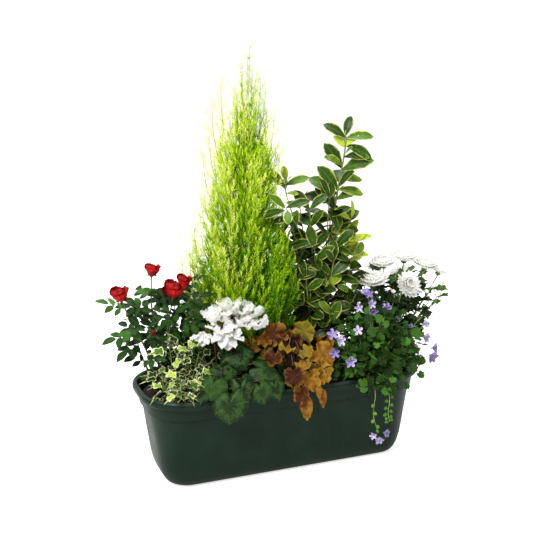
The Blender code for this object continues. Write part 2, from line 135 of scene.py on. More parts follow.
def round_blade(spokes, rings, outline, middle=0.5):
    """A flat leaf on a polar grid: outline(angle) is its reach from the middle, with angle 0 at the tip
    and 180 degrees at the stalk, which is at the origin. Top and underside share the outermost ring."""
    angle = 2 * pi * np.arange(spokes) / spokes
    rho = np.arange(1, rings + 1) / rings
    reach = outline(np.degrees(np.minimum(angle, 2 * pi - angle)))
    x = rho[:, None] * reach * np.sin(angle)
    y = rho[:, None] * reach * np.cos(angle) + middle
    inner = spokes * (rings - 1)
    centre = spokes * rings + inner

    def both(ring_values, centre_value):
        flat_values = np.broadcast_to(ring_values, (rings, spokes)).ravel()
        return np.concatenate([flat_values, flat_values[:inner], [centre_value, centre_value]])

    def faces(ring, hub):
        after = np.roll(ring, -1, axis=1)
        quads = np.stack([after[:-1], after[1:], ring[1:], ring[:-1]], -1).reshape(-1, 4)
        return quads, np.column_stack([after[0], ring[0], np.full(spokes, hub)])

    top = np.arange(spokes * rings).reshape(rings, spokes)
    under = np.vstack([spokes * rings + np.arange(inner).reshape(rings - 1, spokes), top[-1:]])
    quads_top, fan_top = faces(top, centre)
    quads_under, fan_under = faces(under, centre + 1)
    side = np.concatenate([np.ones(inner), np.zeros(spokes), -np.ones(inner), [1.0, -1.0]])
    u, v = both(angle / (2 * pi), 0.0), both(rho[:, None], 0.0)
    return Shape(np.column_stack([both(x, 0.0), both(y, middle)]), side, np.column_stack([u, v]), v, u,
                 np.vstack([quads_top, quads_under[:, ::-1]]), np.vstack([fan_top, fan_under[:, ::-1]]))


def copies(shape, points, tint):
    """The same faces for each set of points, with one tint for each copy."""
    count, size = points.shape[:2]
    offset = size * np.arange(count)[:, None, None]
    return Part(points.reshape(-1, 3), (shape.quads[None] + offset).reshape(-1, 4),
                (shape.tris[None] + offset).reshape(-1, 3), np.tile(shape.uv, (count, 1)),
                np.repeat(np.broadcast_to(np.asarray(tint, float), (count,)), size))


def leaves(shape, base, along, length, width, tint, face=UP, bend=0.0, fold=0.0, cup=0.0, ripple=0.0,
           waves=2.5, thickness=0.0005):
    """Copies of a flat leaf. Each is lifted beside its midrib by a fold slope, cupped by the square of the
    way to its rim, rippled there by a sine, bent down on an arc along its length, and set with its stalk
    at its base."""
    base = np.atleast_2d(base)
    count = len(base)

    def each(value):
        return np.broadcast_to(np.asarray(value, float), (count,))[:, None]

    along, face = np.broadcast_to(along, (count, 3)), np.broadcast_to(face, (count, 3))
    x, y = shape.flat[:, 0] * each(width), shape.flat[:, 1] * each(length)
    z = np.abs(x) * each(fold) + each(cup) * each(width) * shape.rim ** 2 + shape.side * thickness / 2
    phase = 1.7 * np.arange(count)[:, None]
    z = z + each(ripple) * each(width) * shape.rim ** 2 * np.sin(2 * pi * waves * shape.wave + phase)
    curl = np.where(np.abs(each(bend)) < 1e-4, 1e-4, each(bend))
    turn = curl * y / each(length)
    forward = (each(length) / curl + z) * np.sin(turn)
    lift = z * np.cos(turn) - each(length) / curl * (1 - np.cos(turn))
    ahead = unit(along)
    across = unit(np.cross(ahead, face))
    normal = np.cross(across, ahead)
    points = base[:, None] + x[..., None] * across[:, None] + forward[..., None] * ahead[:, None]
    return copies(shape, points + lift[..., None] * normal[:, None], tint)


def listed(shape, rows, slimness=None, **form):
    """Leaves from a table: place, bearing, rise, length, width and tint. Where the table leaves the width
    out, it is slimness times the length."""
    width = rows[:, 6] if slimness is None else slimness * rows[:, 5]
    return leaves(shape, rows[:, :3], aim(rows[:, 3], rows[:, 4]), rows[:, 5], width, rows[:, -1], **form)


def numbered(name, count):
    """The names of CAD nodes that differ by a number, which starts from one."""
    return ["%s_%d" % (name, number) for number in range(1, count + 1)]


def bands(index):
    """Quads between successive closed rows of points, facing along (the way round) x (from row to row)."""
    after = np.roll(index, -1, axis=1)
    return np.stack([index[:-1], after[:-1], after[1:], index[1:]], -1).reshape(-1, 4)


def tube(path, radius, sides=6, tint=0.5):
    """A round stem: a ring of points square to the path at each of its points, closed at each end."""
    path = np.asarray(path, float)
    count = len(path)
    tangent = unit(np.gradient(path, axis=0))
    aside = np.eye(3)[np.argmin(np.abs(tangent).max(axis=0))]
    first = unit(np.cross(tangent, aside))
    second = np.cross(tangent, first)
    angle = (2 * pi * np.arange(sides) / sides)[None, :, None]
    reach = np.broadcast_to(np.asarray(radius, float), (count,))[:, None, None]
    ring = path[:, None] + reach * (np.cos(angle) * first[:, None] + np.sin(angle) * second[:, None])
    index = np.arange(count * sides).reshape(count, sides)
    after = np.roll(index, -1, axis=1)
    low, high = np.full(sides, count * sides), np.full(sides, count * sides + 1)
    ends = np.vstack([np.column_stack([low, after[0], index[0]]),
                      np.column_stack([high, index[-1], after[-1]])])
    u, v = np.meshgrid(np.arange(sides) / sides, np.linspace(0, 1, count))
    uv = np.vstack([np.column_stack([u.ravel(), v.ravel()]), [[0.0, 0.0], [0.0, 1.0]]])
    points = np.vstack([ring.reshape(-1, 3), path[:1], path[-1:]])
    return Part(points, bands(index), ends, uv, np.full(len(points), float(tint)))


def spindles(base, along, length, radius, tint, bulge=0.4):
    """Scaly twigs as slim spindles: a point, a ring of three at bulge of the length, and a point."""
    ahead = unit(along)
    length, radius = np.asarray(length, float)[:, None], np.broadcast_to(radius, (len(base),))[:, None]
    first = unit(np.cross(ahead, np.array([0.31, 0.87, 0.12])))
    second = np.cross(ahead, first)
    ring = [base + bulge * length * ahead + radius * (cos(turn) * first + sin(turn) * second)
            for turn in (0, 2 * pi / 3, 4 * pi / 3)]
    points = np.stack([base] + ring + [base + length * ahead], axis=1)
    tris = np.array([[0, 2, 1], [0, 3, 2], [0, 1, 3], [4, 1, 2], [4, 2, 3], [4, 3, 1]])
    uv = np.array([[0.0, 0.0], [0.0, bulge], [0.33, bulge], [0.67, bulge], [0.0, 1.0]])
    return copies(Shape(None, None, uv, None, None, np.zeros((0, 4), int), tris), points, tint)


def bead(centre, axis, length, radius, tint, sides=8, rows=6, fullest=0.5):
    """Closed buds, hips and crumbs: a solid turned about its axis, whose radius is half a sine wave,
    fullest at a fraction of its length."""
    t = np.linspace(0.02, 0.98, rows)
    path = np.asarray(centre)[None] + (t * length)[:, None] * unit(np.asarray(axis, float))[None]
    return tube(path, radius * np.sin(pi * t ** (np.log(0.5) / np.log(fullest))), sides, tint)


def make_piece(name, parts, material, stands_for=(), sharp_from=75, welded=False):
    """One object from its parts, at the origin, riding on the only body. Its edges are sharp from an angle
    in degrees, and welded makes one point of those within a micrometre of each other."""
    starts = np.cumsum([0] + [len(part.points) for part in parts])
    points = np.vstack([part.points for part in parts])
    uv = np.vstack([part.uv for part in parts])
    tint = np.concatenate([part.tint for part in parts])
    quads = np.vstack([part.quads + start for part, start in zip(parts, starts)])
    tris = np.vstack([part.tris + start for part, start in zip(parts, starts)])
    if welded:
        _, first, index = np.unique(np.round(points * 1e6), axis=0, return_index=True, return_inverse=True)
        points, tint, uv = points[first], tint[first], uv[first]
        quads, tris = index.reshape(-1)[quads], index.reshape(-1)[tris]
    corners = np.concatenate([quads.ravel(), tris.ravel()]).astype(np.int32)
    loops = np.concatenate([4 * np.arange(len(quads)), 4 * len(quads) + 3 * np.arange(len(tris))])
    mesh = bpy.data.meshes.new(name)
    mesh.vertices.add(len(points))
    mesh.vertices.foreach_set("co", points.astype(np.float32).ravel())
    mesh.loops.add(len(corners))
    mesh.loops.foreach_set("vertex_index", corners)
    mesh.polygons.add(len(loops))
    mesh.polygons.foreach_set("loop_start", loops.astype(np.int32))
    mesh.polygons.foreach_set("use_smooth", np.ones(len(loops), bool))
    mesh.update(calc_edges=True)
    mesh.uv_layers.new(name="UVMap").data.foreach_set("uv", uv[corners].astype(np.float32).ravel())
    mesh.attributes.new("tint", "FLOAT", "POINT").data.foreach_set("value", tint.astype(np.float32))
    mesh.set_sharp_from_angle(angle=radians(sharp_from))
    mesh.materials.append(material)
    piece = bpy.data.objects.new(name, mesh)
    bpy.context.scene.collection.objects.link(piece)
    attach(piece, "root")
    if stands_for:
        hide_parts(*stands_for)


# Finishes


def linear(code):
    """An sRGB hex colour as linear red, green, blue and alpha."""
    parts = np.array([int(code[i:i + 2], 16) for i in (1, 3, 5)]) / 255
    return (*np.where(parts <= 0.04045, parts / 12.92, ((parts + 0.055) / 1.055) ** 2.4), 1.0)


def add_node(tree, kind, inputs=(), stops=(), **settings):
    """One node: its settings, its sockets' values or the outputs they take, and a ramp's stops."""
    made = tree.nodes.new(kind)
    for name, value in settings.items():
        setattr(made, name, value)
    for socket, value in dict(inputs).items():
        if isinstance(value, bpy.types.NodeSocket):
            tree.links.new(value, made.inputs[socket])
        else:
            made.inputs[socket].default_value = value
    for place, (position, code) in enumerate(stops):
        elements = made.color_ramp.elements
        element = elements[place] if place < len(elements) else elements.new(position)
        element.position = position
        element.color = linear(code)
    return made


def new_material(name, **inputs):
    """A Principled material, its tree and its shader, with the values that are the same all over it."""
    material = bpy.data.materials.new(name)
    material.use_nodes = True
    shader = material.node_tree.nodes["Principled BSDF"]
    for socket, value in inputs.items():
        shader.inputs[socket.replace("_", " ")].default_value = value
    return material, material.node_tree, shader


def plant_skin(name, stops, grain_mm, mottle, edge=None, edge_from=0.7, edge_soft=0.1, veins=0, vein=None,
               rayed=False, vein_width=0.12, vein_share=0.8, ring=None, bump_mm=0.2, **inputs):
    """Leaf or petal skin. A tint held by the mesh, moved by a mottle of grain_mm, runs through a ramp of
    stops. A broken ring lies between the middle and the rim of a round leaf. Side veins or rays are drawn
    by a cosine over the leaf's own map, and an edge colour starts near the rim, fainter on a dark leaf.
    The veins, or else the mottle, stand bump_mm proud."""
    material, tree, shader = new_material(name, **inputs)
    coords = add_node(tree, "ShaderNodeTexCoord")
    tint = add_node(tree, "ShaderNodeAttribute", attribute_name="tint")
    noise = add_node(tree, "ShaderNodeTexNoise",
                     {"Vector": coords.outputs["Object"], "Scale": 1000 / grain_mm, "Detail": 3.0})
    centred = add_node(tree, "ShaderNodeMath", {0: noise.outputs["Fac"], 1: 0.5}, operation="SUBTRACT")
    shade = add_node(tree, "ShaderNodeMath", {0: centred.outputs[0], 1: mottle, 2: tint.outputs["Fac"]},
                     operation="MULTIPLY_ADD")
    color = add_node(tree, "ShaderNodeValToRGB", {"Fac": shade.outputs[0]}, stops).outputs["Color"]
    split = add_node(tree, "ShaderNodeSeparateXYZ", {"Vector": coords.outputs["UV"]})
    half = add_node(tree, "ShaderNodeMath", {0: split.outputs["X"], 1: 0.5}, operation="SUBTRACT")
    beside = add_node(tree, "ShaderNodeMath", {0: half.outputs[0]}, operation="ABSOLUTE")
    height = noise.outputs["Fac"]
    if ring:
        # The ring is at 0.58 of the way out, strongest within 0.06 of that and gone at 0.26
        off = add_node(tree, "ShaderNodeMath", {0: split.outputs["Y"], 1: 0.58}, operation="SUBTRACT")
        away = add_node(tree, "ShaderNodeMath", {0: off.outputs[0]}, operation="ABSOLUTE")
        broken = add_node(tree, "ShaderNodeMath", {0: centred.outputs[0], 1: 1.5, 2: away.outputs[0]},
                          operation="MULTIPLY_ADD")
        band = add_node(tree, "ShaderNodeMapRange",
                        {"Value": broken.outputs[0], "From Min": 0.26, "From Max": 0.06, "To Max": 0.7})
        color = add_node(tree, "ShaderNodeMix", {0: band.outputs[0], 6: color, 7: linear(ring)},
                         data_type="RGBA").outputs[2]
    if vein:
        # Rays go round the leaf, and side veins slant forward from a rib 0.02 to 0.06 from the middle line
        way = split.outputs["X"]
        if not rayed:
            way = add_node(tree, "ShaderNodeMath", {0: beside.outputs[0], 1: -1.2, 2: split.outputs["Y"]},
                           operation="MULTIPLY_ADD").outputs[0]
        turns = add_node(tree, "ShaderNodeMath", {0: way, 1: 2 * pi * veins}, operation="MULTIPLY")
        swing = add_node(tree, "ShaderNodeMath", {0: turns.outputs[0]}, operation="COSINE")
        line = add_node(tree, "ShaderNodeMapRange",
                        {"Value": swing.outputs[0], "From Min": 1 - 2 * vein_width, "From Max": 1.0,
                         "To Max": vein_share}).outputs[0]
        if not rayed:
            rib = add_node(tree, "ShaderNodeMapRange",
                           {"Value": beside.outputs[0], "From Min": 0.06, "From Max": 0.02,
                            "To Max": vein_share})
            line = add_node(tree, "ShaderNodeMath", {0: line, 1: rib.outputs[0]},
                            operation="MAXIMUM").outputs[0]
        color = add_node(tree, "ShaderNodeMix", {0: line, 6: color, 7: linear(vein)},
                         data_type="RGBA").outputs[2]
        height = line
    if edge:
        # The border wanders with the mottle, and its share goes from 0.42 on the darkest leaf to 1 on a
        # light one, so that where a leaf's tint holds painted shade, its border is painted in shade too
        rim = split.outputs["Y"]
        if not rayed:
            rim = add_node(tree, "ShaderNodeMath", {0: beside.outputs[0], 1: 2.0},
                           operation="MULTIPLY").outputs[0]
        wander = add_node(tree, "ShaderNodeMath", {0: centred.outputs[0], 1: 0.6, 2: rim},
                          operation="MULTIPLY_ADD")
        share = add_node(tree, "ShaderNodeMath", {0: tint.outputs["Fac"], 1: 0.9, 2: 0.42},
                         operation="MULTIPLY_ADD", use_clamp=True)
        mask = add_node(tree, "ShaderNodeMapRange",
                        {"Value": wander.outputs[0], "From Min": edge_from - edge_soft,
                         "From Max": edge_from + edge_soft, "To Max": share.outputs[0]})
        color = add_node(tree, "ShaderNodeMix", {0: mask.outputs[0], 6: color, 7: linear(edge)},
                         data_type="RGBA").outputs[2]
    tree.links.new(color, shader.inputs["Base Color"])
    bump = add_node(tree, "ShaderNodeBump", {"Height": height, "Strength": 0.5, "Distance": bump_mm / 1000})
    tree.links.new(bump.outputs["Normal"], shader.inputs["Normal"])
    return material


def moulded_polypropylene():
    """Injection-moulded polypropylene, dark green: satin, with a grain of 0.7 mm, clouds of 36 mm in its
    colour and roughness, and a painted highlight greying the crown of the rim, which is smoother there."""
    material, tree, shader = new_material("polypropylene_moulded_dark_green", IOR=1.49,
                                          Specular_IOR_Level=0.14)
    coords = add_node(tree, "ShaderNodeTexCoord")
    cloud = add_node(tree, "ShaderNodeTexNoise",
                     {"Vector": coords.outputs["Object"], "Scale": 28.0, "Detail": 5.0})
    grain = add_node(tree, "ShaderNodeTexNoise",
                     {"Vector": coords.outputs["Object"], "Scale": 1400.0, "Detail": 2.0})
    color = add_node(tree, "ShaderNodeValToRGB", {"Fac": cloud.outputs["Fac"]},
                     ((0.3, "#0e2015"), (0.55, "#112518"), (0.75, "#152a1c")))
    rough = add_node(tree, "ShaderNodeMapRange",
                     {"Value": cloud.outputs["Fac"], "From Min": 0.3, "From Max": 0.7,
                      "To Min": 0.30, "To Max": 0.44})
    split = add_node(tree, "ShaderNodeSeparateXYZ", {"Vector": coords.outputs["Object"]})
    # The crown of the rim, over its last few millimetres, is painted lighter as a painted highlight, and
    # made smoother
    painted_highlight_and_polish = add_node(tree, "ShaderNodeMapRange",
                    {"Value": split.outputs["Z"], "From Min": 0.1590, "From Max": 0.1625, "To Max": 0.55})
    color = add_node(tree, "ShaderNodeMix",
                     {0: painted_highlight_and_polish.outputs[0], 6: color.outputs["Color"], 7: linear("#4a574e")}, data_type="RGBA")
    smooth = add_node(tree, "ShaderNodeMath", {0: painted_highlight_and_polish.outputs[0], 1: -0.22, 2: rough.outputs[0]},
                      operation="MULTIPLY_ADD")
    bump = add_node(tree, "ShaderNodeBump",
                    {"Height": grain.outputs["Fac"], "Strength": 0.25, "Distance": 0.0002})
    tree.links.new(color.outputs[2], shader.inputs["Base Color"])
    tree.links.new(smooth.outputs[0], shader.inputs["Roughness"])
    tree.links.new(bump.outputs["Normal"], shader.inputs["Normal"])
    return material


def potting_compost():
    """Peaty potting compost: near-black crumbs 4 mm across with brown fibres, and quite matt."""
    material, tree, shader = new_material("compost_peat_crumb", Roughness=0.95)
    coords = add_node(tree, "ShaderNodeTexCoord")
    crumb = add_node(tree, "ShaderNodeTexVoronoi", {"Vector": coords.outputs["Object"], "Scale": 260.0})
    noise = add_node(tree, "ShaderNodeTexNoise",
                     {"Vector": coords.outputs["Object"], "Scale": 420.0, "Detail": 6.0, "Roughness": 0.7})
    color = add_node(tree, "ShaderNodeValToRGB", {"Fac": noise.outputs["Fac"]},
                     ((0.3, "#0f0a06"), (0.52, "#24170d"), (0.66, "#3d2716"), (0.8, "#5c4129")))
    lump = add_node(tree, "ShaderNodeMath", {0: crumb.outputs["Distance"], 1: noise.outputs["Fac"]},
                    operation="ADD")
    bump = add_node(tree, "ShaderNodeBump", {"Height": lump.outputs[0], "Strength": 0.9, "Distance": 0.002})
    tree.links.new(color.outputs["Color"], shader.inputs["Base Color"])
    tree.links.new(bump.outputs["Normal"], shader.inputs["Normal"])
    return material


def stem_skin(name, dark, light, grain_mm=4.0, **inputs):
    """Bark or green stem: streaks grain_mm wide and four times as tall, in a dark and a light colour."""
    material, tree, shader = new_material(name, **inputs)
    coords = add_node(tree, "ShaderNodeTexCoord")
    stretched = add_node(tree, "ShaderNodeMapping",
                         {"Vector": coords.outputs["Object"], "Scale": (1.0, 1.0, 0.25)})
    noise = add_node(tree, "ShaderNodeTexNoise",
                     {"Vector": stretched.outputs[0], "Scale": 1000 / grain_mm, "Detail": 4.0})
    color = add_node(tree, "ShaderNodeValToRGB", {"Fac": noise.outputs["Fac"]},
                     ((0.35, dark), (0.65, light)))
    bump = add_node(tree, "ShaderNodeBump",
                    {"Height": noise.outputs["Fac"], "Strength": 0.5, "Distance": 0.0004})
    tree.links.new(color.outputs["Color"], shader.inputs["Base Color"])
    tree.links.new(bump.outputs["Normal"], shader.inputs["Normal"])
    return material


POLYPROPYLENE = moulded_polypropylene()
COMPOST = potting_compost()
# Grown bark, dry and fissured: grey-brown streaks, with no shine
BARK = stem_skin("bark_grey_brown", "#3a2c1c", "#7a6644", Roughness=0.85)
# Young cypress twigs under their scales: olive going yellow, matt
CYPRESS_TWIG = stem_skin("cypress_twig_olive", "#6f7a20", "#a8ad48", Roughness=0.7)
# Smooth rose canes: mid green, faintly glossy
ROSE_WOOD = stem_skin("rose_cane_green", "#2f4a1a", "#5d7d35", Roughness=0.55)
# Juicy green stems: pale green, faintly glossy
SOFT_STEM = stem_skin("soft_stem_green", "#4c6626", "#86a04a", Roughness=0.55)
# Fleshy cyclamen and heuchera stalks: brown going red, downy and so nearly matt
RED_STEM = stem_skin("cyclamen_stalk_reddish", "#2c1a12", "#5a3a2a", Roughness=0.6)
# Scale foliage: matt, green inside the bush and lemon yellow at the newest tips, and by its tint painted
# lighter on the lit side and darker inside and on the shaded side, as painted light and shade
CYPRESS = plant_skin("cypress_scale_foliage", ((0.0, "#205004"), (0.22, "#3e7806"), (0.46, "#74aa08"),
                     (0.76, "#b8d41a"), (1.0, "#e8ee7c")), grain_mm=14, mottle=0.12, Roughness=0.7,
                     Specular_IOR_Level=0.0)
# Leathery evergreen leaf: a waxy gloss, a dark green middle and an uneven cream-yellow margin
EUONYMUS = plant_skin("euonymus_waxy_variegated", ((0.0, "#0e2206"), (0.35, "#22400b"), (0.65, "#486c14"),
                      (1.0, "#b2c234")), grain_mm=9, mottle=0.35, edge="#bcbc5c", edge_from=0.84,
                      edge_soft=0.07, veins=6, vein="#6b8a38", vein_share=0.3, Roughness=0.4,
                      Specular_IOR_Level=0.15)
# Thin rose leaf: satin, deep green in the bush and fresh green at its tips, with fine paler veins
ROSE_LEAF = plant_skin("rose_leaf_satin", ((0.0, "#0c1c06"), (0.4, "#18360a"), (0.75, "#2b5412"),
                       (1.0, "#558628")), grain_mm=6, mottle=0.3, veins=7, vein="#4c6d35", vein_share=0.3,
                       Roughness=0.6, Specular_IOR_Level=0.12)
# Velvety petal: deep red, with painted shade that makes it nearly black between the petals, and a soft broad
# highlight
ROSE_PETAL = plant_skin("rose_petal_velvet_red", ((0.0, "#2c0103"), (0.4, "#700307"), (0.75, "#a2070c"),
                        (1.0, "#bc1a1a")), grain_mm=8, mottle=0.25, Roughness=0.6, Specular_IOR_Level=0.2)
# Waxy lobed leaf: dull green middle with pale rays, and a cream margin, strongest on the newest leaves
IVY = plant_skin("ivy_leaf_variegated", ((0.0, "#081404"), (0.45, "#183208"), (0.7, "#426a18"),
                 (1.0, "#9cb444")), grain_mm=5, mottle=0.4, edge="#d8dca0", edge_from=0.80, edge_soft=0.10,
                 veins=5, vein="#8ea05c", vein_share=0.3, rayed=True, Roughness=0.6, Specular_IOR_Level=0.12)
# Thick fleshy leaf: satin, nearly black green, marbled by a broken paler ring and thin rays
CYCLAMEN = plant_skin("cyclamen_leaf_marbled", ((0.0, "#081404"), (0.5, "#11240a"), (1.0, "#284614")),
                      grain_mm=5, mottle=0.9, ring="#32511e", veins=7, vein="#466236", vein_width=0.03,
                      vein_share=0.45, rayed=True, Roughness=0.5, Specular_IOR_Level=0.14)
# Thin white petal: matt, warm pink on a petal given a low tint, and lit through by light that scatters a few
# millimetres
WHITE_PETAL = plant_skin("petal_white_matt", ((0.0, "#e6b4bc"), (0.3, "#f4ecea"), (0.6, "#fbfaf6"),
                         (1.0, "#fffff4")), grain_mm=6, mottle=0.1, Roughness=0.6, Specular_IOR_Level=0.2,
                         Subsurface_Weight=0.7, Subsurface_Radius=(1.0, 0.9, 0.8), Subsurface_Scale=0.006)
# Ruffled leaf: wine brown low down, amber and olive above, patchy, with dark rays and a golden frill
HEUCHERA = plant_skin("heuchera_leaf_ruffled", ((0.0, "#2c0e08"), (0.25, "#461e07"), (0.5, "#70400e"),
                      (0.72, "#8e6618"), (1.0, "#686618")), grain_mm=8, mottle=0.75, edge="#96781f",
                      edge_from=0.92, edge_soft=0.2, veins=7, vein="#5a3210", vein_width=0.05,
                      vein_share=0.35, rayed=True, Roughness=0.6, Specular_IOR_Level=0.15)
# Downy lobed leaf: grey-green and matt, with paler ribs
DAISY_LEAF = plant_skin("chrysanthemum_leaf_downy", ((0.0, "#131f0c"), (0.5, "#2c441c"), (1.0, "#527030")),
                        grain_mm=6, mottle=0.3, veins=5, vein="#5e7350", vein_share=0.4, rayed=True,
                        Roughness=0.7, Specular_IOR_Level=0.1)
# Soft thin leaf: fresh green with a faint satin, and paler rays
BELLFLOWER_LEAF = plant_skin("campanula_leaf_soft", ((0.0, "#142808"), (0.4, "#284a10"), (0.75, "#427020"),
                             (1.0, "#7ea33a")), grain_mm=6, mottle=0.3, veins=7, vein="#557a33",
                             vein_share=0.35, rayed=True, Roughness=0.6, Specular_IOR_Level=0.12)
# Papery petal: violet blue, paler in a fresh flower, with a darker line down each of the five lobes
BELLFLOWER = plant_skin("campanula_petal_violet", ((0.0, "#6a579e"), (0.4, "#8e7bbc"), (0.75, "#b2a3d6"),
                        (1.0, "#e6e0f0")), grain_mm=6, mottle=0.2, veins=5, vein="#6d5aa3", vein_share=0.4,
                        rayed=True, Roughness=0.55)


# Trough

HALF_LENGTH, HALF_WIDTH, RIM_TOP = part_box("planter_box")[1]
RIM_CORNER, SMALLEST_CORNER = 0.078, 0.020
WALL, RIM_OVERHANG, RIM_UNDERSIDE = 0.0025, 0.008, RIM_TOP - 0.013
STEP_TOP, STEP_BOTTOM, STEP_DEPTH = 0.129, 0.126, 0.004
DRAFT, BASE_CURVE_HEIGHT, BASE_CURVE_WIDTH = 0.136, 0.045, 0.013
SKID_HEIGHT, SKID_PLACES, SKID_SIZE = 0.003, (-0.160, 0.0, 0.160), (0.018, 0.092)
DRAIN_PLACES = [(x, y) for x in (-0.120, -0.040, 0.040, 0.120) for y in (-0.025, 0.025)]
DRAIN_RADIUS, DRAIN_CELL = 0.005, (0.040, 0.025)
CORNER_STEPS, LONG_STEPS, SHORT_STEPS, CELL_STEPS = 14, 18, 2, 8
BELOW_STEP = np.array([0.003, 0.0036, 0.005, 0.008, 0.012, 0.018, 0.026, 0.035, 0.045, 0.070, 0.098,
                       STEP_BOTTOM])
ABOVE_STEP = (STEP_TOP, 0.140, RIM_UNDERSIDE, 0.157)
# The rolled rim from the wall out to the lip and back over the top: inset and height
RIM_PROFILE = [(0.0070, 0.1590), (0.0058, 0.1602), (0.0044, 0.1594), (0.0036, 0.1560), (0.0036, 0.1508),
               (0.0030, 0.1499), (0.0020, 0.1500), (0.0011, 0.1508), (0.0004, 0.1530), (0.0002, 0.1560),
               (0.0005, 0.1588), (0.0013, 0.1607), (0.0028, 0.1623), (0.0045, 0.1630), (0.0062, 0.1627),
               (0.0076, 0.1616), (0.0086, 0.1598)]


def rounded_ring(inset, z):
    """The rim's rounded rectangle drawn in by an inset: quarter arcs and straight runs, anticlockwise."""
    half_x, half_y = HALF_LENGTH - inset, HALF_WIDTH - inset
    radius = max(RIM_CORNER - inset, SMALLEST_CORNER)
    turn = pi / 2 * np.linspace(0, 1, CORNER_STEPS + 1)
    arcs = [np.column_stack([sx * (half_x - radius) + radius * np.cos(pi / 2 * quarter + turn),
                             sy * (half_y - radius) + radius * np.sin(pi / 2 * quarter + turn)])
            for quarter, (sx, sy) in enumerate(((1, 1), (-1, 1), (-1, -1), (1, -1)))]
    runs = [np.linspace(arc[-1], after[0], steps + 1)[1:-1]
            for arc, after, steps in zip(arcs, arcs[1:] + arcs[:1], (LONG_STEPS, SHORT_STEPS) * 2)]
    ring = np.vstack([piece for pair in zip(arcs, runs) for piece in pair])
    return np.column_stack([ring, np.full(len(ring), z)])


def wall_inset(z, above_step=False):
    """How far the wall stands inside the rim: a draft, a step, and a quarter ellipse at the base."""
    fall = np.clip(1 - (z - SKID_HEIGHT) / (BASE_CURVE_HEIGHT - SKID_HEIGHT), 0, 1)
    curve = BASE_CURVE_WIDTH * (1 - np.sqrt(1 - fall ** 2))
    return RIM_OVERHANG + DRAFT * (RIM_UNDERSIDE - z) + (0.0 if above_step else STEP_DEPTH) + curve


def rectangle_loop(x, y, half, steps, z):
    """Points round a rectangle, anticlockwise from its far right corner, in steps given for each side."""
    corners = np.array([[x + half[0], y + half[1]], [x - half[0], y + half[1]],
                        [x - half[0], y - half[1]], [x + half[0], y - half[1]]])
    sides = [np.linspace(start, end, count + 1)[:-1]
             for start, end, count in zip(corners, np.roll(corners, -1, axis=0), steps)]
    loop = np.vstack(sides)
    return np.column_stack([loop, np.full(len(loop), z)])


def strips(rows, tint=0.5):
    """A surface through successive closed rows of points."""
    rows = np.asarray(rows)
    count, size = rows.shape[:2]
    quads = bands(np.arange(count * size).reshape(count, size))
    uv = np.stack(np.meshgrid(np.arange(size) / size, np.linspace(0, 1, count)), -1).reshape(-1, 2)
    return Part(rows.reshape(-1, 3), quads, np.zeros((0, 3), int), uv, np.full(count * size, tint))


def block(x, half, low, high, bevel=0.0012):
    """A skid: a rectangle carried up, bevelled at its foot, and closed on a hairline at both ends."""
    hairline = (1e-4, half[1] * 0.9)
    foot = (half[0] - bevel, half[1] - bevel)
    rows = ((hairline, low), (foot, low), (half, low + bevel), (half, high), (hairline, high))
    return strips([rectangle_loop(x, 0, size, (2, 6, 2, 6), z) for size, z in rows])


def make_trough():
    """One closed skin: the underside, up the wall, round the rolled rim, down inside and over the floor.
    Underside and floor are plates of eight cells, each running from a rectangle to a round drain hole."""
    floor = SKID_HEIGHT + WALL
    sections = [(wall_inset(z), z) for z in BELOW_STEP]
    sections += [(wall_inset(z, True), z) for z in ABOVE_STEP]
    sections += RIM_PROFILE
    sections += [(wall_inset(z, True) + WALL, z) for z in (0.157, 0.140, STEP_TOP)]
    sections += [(wall_inset(z) + WALL, z) for z in [*BELOW_STEP[BELOW_STEP > floor][::-1], floor]]
    rings = [rounded_ring(inset, z) for inset, z in sections]
    outer = (4 * DRAIN_CELL[0], 2 * DRAIN_CELL[1])
    outer_steps = (4 * CELL_STEPS, 2 * CELL_STEPS) * 2
    under, inside = (np.roll(rectangle_loop(0, 0, outer, outer_steps, z), CORNER_STEPS // 2, axis=0)
                     for z in (SKID_HEIGHT, floor))
    parts = [strips([under] + rings + [inside])]
    angle = pi / 4 + 2 * pi * np.arange(4 * CELL_STEPS) / (4 * CELL_STEPS)
    for x, y in DRAIN_PLACES:
        hole = [x + DRAIN_RADIUS * np.cos(angle), y + DRAIN_RADIUS * np.sin(angle)]
        holes = [np.column_stack(hole + [np.full(len(angle), z)]) for z in (floor, SKID_HEIGHT)]
        cells = [rectangle_loop(x, y, DRAIN_CELL, (CELL_STEPS,) * 4, z) for z in (floor, SKID_HEIGHT)]
        parts.append(strips([cells[0], holes[0], holes[1], cells[1]]))
    parts += [block(x, np.array(SKID_SIZE) / 2, 0.0, SKID_HEIGHT + 0.0004) for x in SKID_PLACES]
    make_piece("trough_rolled_rim", parts, POLYPROPYLENE, ["planter_box"], sharp_from=40,
               welded=True)


# Compost

COMPOST_TOP, COMPOST_UNDERSIDE, COMPOST_GAP = 0.141, 0.0075, 0.0012
CRUMBS, CRUMB_FIELD, CRUMB_SIZES = 420, (0.205, 0.080), (0.002, 0.0062)


def lumps(x, y, size, seed, waves=40):
    """A crumbly height: the mean of waves in seeded directions, about size from crest to crest."""
    rng = np.random.default_rng(seed)
    turn, phase = rng.uniform(0, pi, waves), rng.uniform(0, 2 * pi, waves)
    rate = 2 * pi / (size * rng.uniform(0.6, 2.2, waves))
    way = x[..., None] * np.cos(turn) + y[..., None] * np.sin(turn)
    return np.sin(way * rate + phase).sum(-1) / np.sqrt(waves)


def compost_height(x, y):
    """A low mound that sinks towards the walls, with crumbs a few millimetres high."""
    edge = np.clip(np.maximum(np.abs(x) / HALF_LENGTH, np.abs(y) / HALF_WIDTH) ** 6, 0, 1)
    crumbs = 0.0011 * lumps(x, y, 0.022, 3) + 0.0009 * lumps(x, y, 0.008, 5)
    return COMPOST_TOP - 0.003 * edge + (1 - edge) * crumbs


